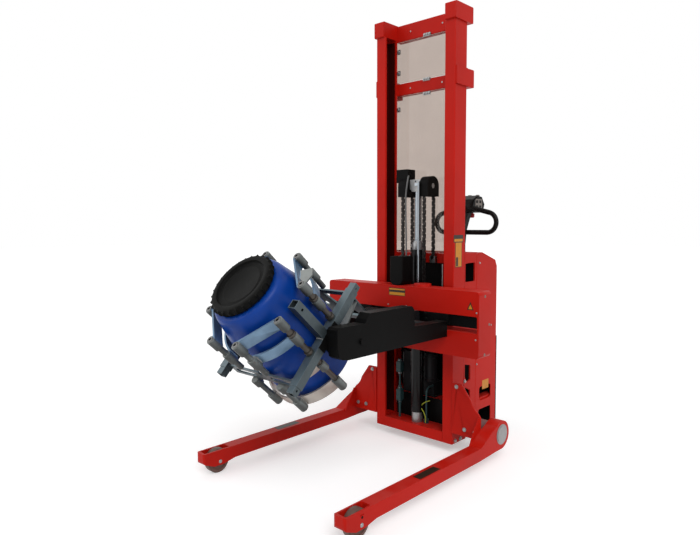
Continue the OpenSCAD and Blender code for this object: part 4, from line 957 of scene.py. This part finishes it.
class SCENE_OT_tipper_carriage(Operator):
    """Paints the carriage, the arms and the tilt drive"""

    bl_idname = "scene.tipper_carriage"
    bl_label = "Carriage and arms"

    def execute(self, context):
        edge = sizes().edge
        dress(["carriage_frame", "carriage_cheeks"], "red", edge)
        self.housing()
        dress(["slot_crossbar", "arm_left", "arm_right"], "black", edge)
        dress(["tilt_drive"], "motor", SHEET_ROUND)
        dress(["guide_rollers_low", "guide_rollers_high"], "steel", CUT_ROUND)
        return {"FINISHED"}

    def housing(self):
        """The black box on the beam: an upright box whose lower corners are rounded off."""
        t = np.linspace(0.0, np.pi / 2, 7)
        right = np.stack([4.0 + 30.0 * np.sin(t), 906.0 - 30.0 * np.cos(t)], -1)
        left = right[::-1] * (-1.0, 1.0) - (14.0, 0.0)
        outline = np.concatenate([right, [(34.0, 1028.0), (-48.0, 1028.0)], left])
        shape = Shape()
        faces = [np.insert(outline, 1, y, axis=1) for y in (-138.0, -44.0)]
        shape.solids(machine(np.stack(faces))[None])
        made = shape.piece("housing_shell", finish("cover"), "carriage", slot="black_paint")
        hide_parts("carriage_housing")
        bevel = made.modifiers.new("Rounded edges", "BEVEL")
        bevel.width = 0.004
        bevel.segments = 3
        bevel.limit_method = "ANGLE"
        bevel.angle_limit = math.radians(60.0)


def body_of(owner, side):
    """The body of a rod or strap: the clamp itself, or one side's jaw."""
    return owner if owner == "clamp" else owner + "_" + side


class SCENE_OT_tipper_clamp(Operator):
    """Finishes the clamp's tubes, rods, plates and jaws"""

    bl_idname = "scene.tipper_clamp"
    bl_label = "Drum clamp"

    def execute(self, context):
        dress(["cage_tubes"], "tube", TUBE_ROUND)
        dress(["front_slot_plate", "rear_plate"], "tube", CUT_ROUND)
        dress(["clamp_rods"], "rod", CUT_ROUND)
        dress(["pivot_hubs"], "black", HUB_ROUND)
        jaws = ["front_jaw_left", "front_jaw_right", "rear_jaw_left", "rear_jaw_right"]
        dress(jaws, "zinc", SHEET_ROUND)
        # The lower ring's pale strap colour is a painted reflection of the floor
        dress(["lower_ring"], "floor_reflection_zinc", SHEET_ROUND)
        self.caps()
        self.beads()
        return {"FINISHED"}

    def caps(self):
        """Turned end rings on the rods, each with a dark screw deep in its middle."""
        ring = np.array([(6.5, -0.5), (6.5, 3.0), (7.5, 3.8), (12.5, 3.8), (14.0, 2.8), (14.5, -0.5)])
        screw = np.array([(0.0, -0.4), (0.0, 1.2), (4.2, 1.2), (6.4, 0.6), (6.4, -0.4)])
        owners = {"rear_tip": "rear_jaw", "rear_hinge": "clamp", "front_hinge": "clamp",
                  "front_tip": "front_jaw"}
        rings, screws = {}, {}
        for side, sign in (("right", 1.0), ("left", -1.0)):
            for rod, owner in owners.items():
                body = body_of(owner, side)
                turn = math.radians(ROD_ANGLES[rod])
                foot = np.array([sign * RING_R * math.cos(turn), RING_R * math.sin(turn), W_TOP + 30.0])
                for made, profile in ((rings, ring), (screws, screw)):
                    shape = made.setdefault(body, Shape())
                    shape.grid(clamp(revolve_points(profile, 24) + foot), True, True)
                if rod.startswith("front"):
                    foot[2] = W_END - 33.0
                    for made, profile in ((rings, ring), (screws, screw)):
                        low = revolve_points(profile * (1.0, -1.0), 24) + foot
                        made.setdefault("clamp", Shape()).grid(clamp(low), True, True)
        for body in rings:
            rings[body].piece("rod_rings_" + body, finish("steel"), body, slot="bright_steel")
            screws[body].piece("rod_screws_" + body, finish("black"), body, slot="black_paint")

    def beads(self):
        """Weld beads where the straps meet the knuckles and where the square tubes meet."""
        made = {}
        straps = [("front_jaw", "front_hinge", "front_tip", W_MID, 22.0),
                  ("rear_jaw", "rear_hinge", "rear_tip", W_MID, 22.0),
                  ("clamp", "front_hinge", "front_tip", W_END, 27.0),
                  ("clamp", "front_hinge", "front_tip", -75.0, 14.0)]
        for side, sign in (("right", 1.0), ("left", -1.0)):
            for owner, first, last, w, half in straps:
                body = body_of(owner, side)
                a, b = ROD_ANGLES[first], ROD_ANGLES[last]
                inward = 3.5 * np.sign(b - a)
                for angle in (a + inward, b - inward):
                    turn = math.radians(angle)
                    place = np.array([sign * STRAP_R * math.cos(turn), STRAP_R * math.sin(turn), w])
                    ends = [place - (0.0, 0.0, half), place + (0.0, 0.0, half)]
                    weld_bead(made.setdefault(body, Shape()), ends, clamp)
            for v in (-20.0, 20.0):
                ends = [(sign * 213.0, v, 20.5), (sign * 251.0, v, 20.5)]
                weld_bead(made["clamp"], ends, clamp)
        for body, shape in made.items():
            shape.piece("weld_beads_" + body, finish("steel"), body, smooth=60.0, slot="zinc_plate")


class SCENE_OT_tipper_running(Operator):
    """Finishes the wheels, the castors, the steering unit and the tiller"""

    bl_idname = "scene.tipper_running"
    bl_label = "Wheels and tiller"

    def execute(self, context):
        dress(["front_roller_left", "front_roller_right"], "nylon", CUT_ROUND)
        dress(["drive_wheel", "castor_wheel_left", "castor_wheel_right"], "tread", CUT_ROUND)
        dress(["castor_fork_left", "castor_fork_right"], "bright", CUT_ROUND)
        dress(["steer_unit"], "motor", CUT_ROUND)
        dress(["tiller_arm", "tiller_head"], "plastic", TILLER_ROUND)
        dress(["belly_button"], "red_plastic", HUB_ROUND)
        dress(["thumb_rockers"], "grey_plastic", SHEET_ROUND)
        self.pads()
        return {"FINISHED"}

    def pads(self):
        """A pale pad with four dark keys on each side of the tiller's head."""
        pads, keys = Shape(), Shape()
        for side in SIDES:
            forward = (0.0, side, 0.0)
            film(pads, (side * 54.0, 572.0, 1312.0), forward, UP, 74.0, 62.0, 1.0, 8.0)
            for y in (552.0, 588.0):
                for z in (1297.0, 1327.0):
                    film(keys, (side * 55.0, y, z), forward, UP, 20.0, 16.0, 1.4, 5.0)
        pads.piece("head_pads", finish("grey_plastic"), "tiller", slot="grey_plastic")
        keys.piece("head_keys", finish("plastic"), "tiller", slot="black_plastic")


class SCENE_OT_tipper_chains(Operator):
    """Hangs the leaf chains over the sheaves"""

    bl_idname = "scene.tipper_chains"
    bl_label = "Leaf chains"

    def execute(self, context):
        s = sizes()
        pitch, height, pack = (1000.0 * v for v in (s.pitch, s.link, s.pack))
        front_y, rear_y = LIFT_Y - SHEAVE_R, LIFT_Y + SHEAVE_R
        front, rear, wraps = Shape(), Shape(), Shape()
        angles = np.linspace(0.0, np.pi, 1 + round(np.pi * SHEAVE_R / pitch))
        arc = np.stack([LIFT_Y + SHEAVE_R * np.cos(angles), AXLE_Z + SHEAVE_R * np.sin(angles)], -1)
        for x in (LIFT_X - CHAIN_X, LIFT_X + CHAIN_X):
            for shape, y, low in ((front, front_y, CHAIN_LOW), (rear, rear_y, ANCHOR_Z)):
                count = int((AXLE_Z - low) / pitch)
                z = low + np.arange(count + 1) * (AXLE_Z - 6.0 - low) / count
                chain_links(shape, np.stack([np.full_like(z, y), z], -1), x, z[1] - z[0], height, pack)
            chain_links(wraps, arc, x, np.linalg.norm(arc[1] - arc[0]), height, pack)
        steel = finish("chain")
        front_piece = front.piece("front_chain_links", steel, None, slot="oiled_chain")
        rear_piece = rear.piece("rear_chain_links", steel, None, slot="oiled_chain")
        wraps.piece("chain_turns", steel, "crosshead", slot="oiled_chain")
        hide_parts("chain_wraps")
        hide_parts("front_chain")
        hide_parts("rear_chain")
        x, y0, z0 = machine((LIFT_X, rear_y, ANCHOR_Z))
        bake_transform(rear_piece)
        x, y0, low = machine((LIFT_X, front_y, CHAIN_LOW))
        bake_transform(front_piece)
        return {"FINISHED"}


class SCENE_OT_tipper_drum(Operator):
    """Turns the drum's wall and its neck"""

    bl_idname = "scene.tipper_drum"
    bl_label = "Drum"

    def execute(self, context):
        base = [(0.0, -212.0), (120.0, -213.0), (172.0, -221.0), (187.0, -222.0), (197.0, -217.0),
                (202.0, -206.0), (203.0, -190.0)]
        wall = [(203.0, -60.0), (203.0, 60.0), (203.0, 112.0), (200.5, 140.0), (195.0, 170.0),
                (187.5, 202.0), (179.5, 236.0), (174.0, 262.0)]
        neck = [(168.0, 282.0), (159.0, 293.0), (146.0, 298.0), (134.0, 300.0), (134.0, 322.0)]
        inner = [(125.0, 322.0), (125.0, 291.0), (160.0, 276.0), (173.0, 226.0), (194.0, 118.0),
                 (194.0, -203.0), (180.0, -214.0), (0.0, -207.0)]
        profile = np.concatenate([smooth_path(base + wall + neck, 6), inner])
        shape = Shape()
        shape.grid(clamp(revolve_points(profile, 128)), wrap_columns=True)
        drum = shape.piece("drum_shell", finish("drum"), "drum", slot="drum_blue")
        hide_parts("drum_body")
        return {"FINISHED"}


class SCENE_OT_tipper_lid(Operator):
    """Turns the screw lid with its grips"""

    bl_idname = "scene.tipper_lid"
    bl_label = "Drum lid"

    def execute(self, context):
        grips = 28
        turns = grips * 12
        t = np.linspace(0.0, 2 * np.pi, turns, endpoint=False)
        tooth = np.clip(1.0 - 5.0 * np.abs((grips * t / (2 * np.pi)) % 1.0 - 0.5), 0.0, 1.0)
        # Each row holds a radius, a height and the share of the teeth's depth that is seen there
        profile = np.array([(0.0, 326.0, 0), (86.0, 326.0, 0), (88.0, 327.2, 0), (93.0, 327.2, 0),
                            (95.0, 326.0, 0), (110.0, 326.0, 0), (113.5, 327.0, 0), (116.0, 331.0, 0),
                            (117.5, 336.5, 0), (120.5, 338.0, 0), (135.0, 338.0, 0), (139.5, 337.2, 0),
                            (142.0, 335.0, 0.1), (143.0, 332.0, 1), (143.5, 328.0, 1), (144.0, 312.0, 0.8),
                            (144.0, 307.0, 0.5), (143.0, 304.0, 0.2), (141.0, 303.0, 0), (134.6, 303.0, 0),
                            (134.6, 323.0, 0), (0.0, 323.0, 0)])
        depth = 10.0
        radius = profile[:, :1] + profile[:, 2:] * depth * tooth[None]
        height = np.broadcast_to(profile[:, 1:2], radius.shape)
        points = np.stack([radius * np.cos(t), radius * np.sin(t), height], -1)
        shape = Shape()
        shape.grid(clamp(points), wrap_columns=True)
        lid = shape.piece("lid_shell", finish("lid"), "lid", slot="lid_black")
        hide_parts("drum_lid")
        return {"FINISHED"}


class SCENE_OT_tipper_labels(Operator):
    """Fits the bare label plates"""

    bl_idname = "scene.tipper_labels"
    bl_label = "Bare labels"

    def execute(self, context):
        yellow, dark = Shape(), Shape()
        beam_yellow, beam_dark = Shape(), Shape()
        # The tall T-shaped plate on the post: a dark head, and a yellow stem with one dark bar
        film(dark, (POST_X, 43.0, 1120.0), BACK, UP, 86.0, 38.0, 0.8)
        film(yellow, (POST_X, 43.0, 1112.0), BACK, UP, 76.0, 14.0, 1.1)
        film(dark, (POST_X, 45.0, 1038.0), BACK, UP, 60.0, 130.0, 0.5)
        film(yellow, (POST_X, 45.0, 1038.0), BACK, UP, 54.0, 124.0, 0.8)
        film(dark, (POST_X, 31.0, 1002.0), BACK, UP, 18.0, 46.0, 1.1)
        # The square plate on the housing, and a long plate on each leg
        film(yellow, (HOUSING_X, 326.0, 307.0), BACK, UP, 66.0, 50.0)
        for x in (463.0, -463.0):
            film(dark, (x, -506.0, 114.0), RIGHT, BACK, 40.0, 150.0)
        # The wide plate and the triangle on the beam's front
        film(beam_dark, (3.5, CARRIAGE_Y, 843.0), RIGHT, UP, 108.0, 40.0, 0.5)
        film(beam_yellow, (3.5, CARRIAGE_Y, 833.0), RIGHT, UP, 102.0, 15.0, 0.8)
        film(beam_yellow, (3.5, CARRIAGE_Y, 856.0), RIGHT, UP, 102.0, 7.0, 0.8)
        border = [(-18.0, -15.0), (18.0, -15.0), (0.0, 24.0)]
        triangle = [(-11.0, -9.0), (11.0, -9.0), (0.0, 14.0)]
        film(beam_dark, (447.0, CARRIAGE_Y, 804.0), RIGHT, UP, thickness=0.5, outline=border)
        film(beam_yellow, (447.0, CARRIAGE_Y, 802.0), RIGHT, UP, thickness=0.8, outline=triangle)
        yellow.piece("chassis_plates", finish("label"), "chassis", slot="tinted_sheet")
        dark.piece("chassis_plate_borders", finish("dark_label"), "chassis", slot="black_plastic")
        beam_yellow.piece("beam_plates", finish("label"), "carriage", slot="tinted_sheet")
        beam_dark.piece("beam_plate_borders", finish("dark_label"), "carriage", slot="black_plastic")
        self.plugs()
        return {"FINISHED"}

    def plugs(self):
        """Small bright screws on the carriage's front and grey plugs in its end."""
        bright, grey = Shape(), Shape()
        head = np.array([(0.0, 1.6), (3.2, 1.4), (4.6, 0.0), (4.6, -0.5), (0.0, -0.5)])
        plug = np.array([(0.0, 1.2), (5.4, 1.2), (7.0, 0.4), (7.0, -0.5), (0.0, -0.5)])
        for x, z in ((65.0, 773.0), (-56.0, 772.0), (480.0, 777.0), (477.0, 648.0)):
            lathe(bright, head, (x, CARRIAGE_Y, z), AXIS_Y, -1.0)
        for side in SIDES:
            for y, z in ((-88.0, 852.0), (-48.0, 714.0), (-88.0, 572.0)):
                lathe(grey, plug, (side * CARRIAGE_X, y, z), AXIS_X, side)
        bright.piece("beam_screws", finish("bright"), "carriage", slot="bright_steel")
        grey.piece("beam_plugs", finish("grey_plastic"), "carriage", slot="grey_plastic")


class SCENE_OT_tipper_hoses(Operator):
    """Runs the hose, the earth wire, the guide tube and the thin pin"""

    bl_idname = "scene.tipper_hoses"
    bl_label = "Hoses and wires"

    def execute(self, context):
        self.earth_wire()
        self.guide_tube()
        self.grey_hose()
        self.pin()
        return {"FINISHED"}

    def earth_wire(self):
        """The earth wire between the pump and the base."""
        shape = Shape()
        bends = [(70.0, 66.0, 230.0), (50.0, 56.0, 222.0), (30.0, 50.0, 206.0), (24.0, 48.0, 186.0),
                 (40.0, 46.0, 168.0), (54.0, 44.0, 146.0), (56.0, 44.0, 110.0)]
        cord(shape, smooth_path(bends), 2.6, 8, (0.0, 1.0, 0.1))
        shape.piece("earth_wire", finish("earth"), "chassis", slot="black_plastic")

    def guide_tube(self):
        """The bright tube in front of the cylinder, and the strap that holds it at the crosshead."""
        shape = Shape()
        x, y = 38.0, -5.0
        path = np.array([(x, y, z) for z in np.linspace(640.0, 1420.0, 12)])
        cord(shape, path, 6.0, 20, BACK)
        strap = np.array([(8.0, 28.5), (14.0, 28.5), (14.0, y), (34.0, y), (34.0, 0.0), (8.0, 0.0)])
        shape.solids(machine(np.stack([np.insert(strap, 2, z, axis=1) for z in (1398.0, 1412.0)]))[None])
        shape.piece("guide_tube", finish("chrome"), "crosshead", slot="chromed")

    def grey_hose(self):
        """The grey hose from the left hood's top down behind the carriage."""
        shape = Shape()
        drop = [(-66.0, 46.0, 1452.0), (-56.0, 30.0, 1455.0), (-46.0, 12.0, 1440.0), (-43.0, 0.0, 1405.0),
                (-48.0, -3.0, 1350.0), (-51.0, 0.0, 1260.0), (-49.0, 2.0, 1120.0), (-48.0, 2.0, 960.0),
                (-48.0, 2.0, 700.0)]
        cord(shape, smooth_path(drop), 1000.0 * sizes().hose, 12, (0.0, 1.0, 0.1))
        shape.piece("grey_hose", finish("hose"), "crosshead", slot="black_plastic")

    def pin(self):
        """The thin pin beside the right cheek's top."""
        shape = Shape()
        path = np.array([(184.0, 8.0, z) for z in np.linspace(820.0, 988.0, 6)])
        cord(shape, path, 2.6, 10, BACK)
        shape.piece("cheek_pin", finish("bright"), "carriage", slot="bright_steel")


class VIEW3D_PT_drum_tipper(bpy.types.Panel):
    """Lists the operators and settings"""

    bl_label = "Drum tipper"
    bl_space_type = "VIEW_3D"
    bl_region_type = "UI"
    bl_category = "Drum tipper"

    def draw(self, context):
        column = self.layout.column()
        for operator in OPERATORS:
            column.operator(operator.bl_idname)
        for group in (context.scene.drum_tipper_colours, context.scene.drum_tipper_sizes):
            for key in group.__annotations__:
                column.prop(group, key)


OPERATORS = (
    SCENE_OT_tipper_camera,
    SCENE_OT_tipper_stage,
    SCENE_OT_tipper_chassis,
    SCENE_OT_tipper_lift,
    SCENE_OT_tipper_carriage,
    SCENE_OT_tipper_clamp,
    SCENE_OT_tipper_running,
    SCENE_OT_tipper_chains,
    SCENE_OT_tipper_drum,
    SCENE_OT_tipper_lid,
    SCENE_OT_tipper_labels,
    SCENE_OT_tipper_hoses,
)
CLASSES = (DrumTipperColours, DrumTipperSizes, *OPERATORS, VIEW3D_PT_drum_tipper)


def register():
    for item in CLASSES:
        bpy.utils.register_class(item)
    bpy.types.Scene.drum_tipper_colours = bpy.props.PointerProperty(type=DrumTipperColours)
    bpy.types.Scene.drum_tipper_sizes = bpy.props.PointerProperty(type=DrumTipperSizes)


def unregister():
    del bpy.types.Scene.drum_tipper_sizes
    del bpy.types.Scene.drum_tipper_colours
    for item in reversed(CLASSES):
        bpy.utils.unregister_class(item)


def main():
    """Makes every piece in order."""
    register()
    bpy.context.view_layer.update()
    for operator in OPERATORS:
        area, name = operator.bl_idname.split(".")
        getattr(getattr(bpy.ops, area), name)()


if __name__ == "__main__":
    main()
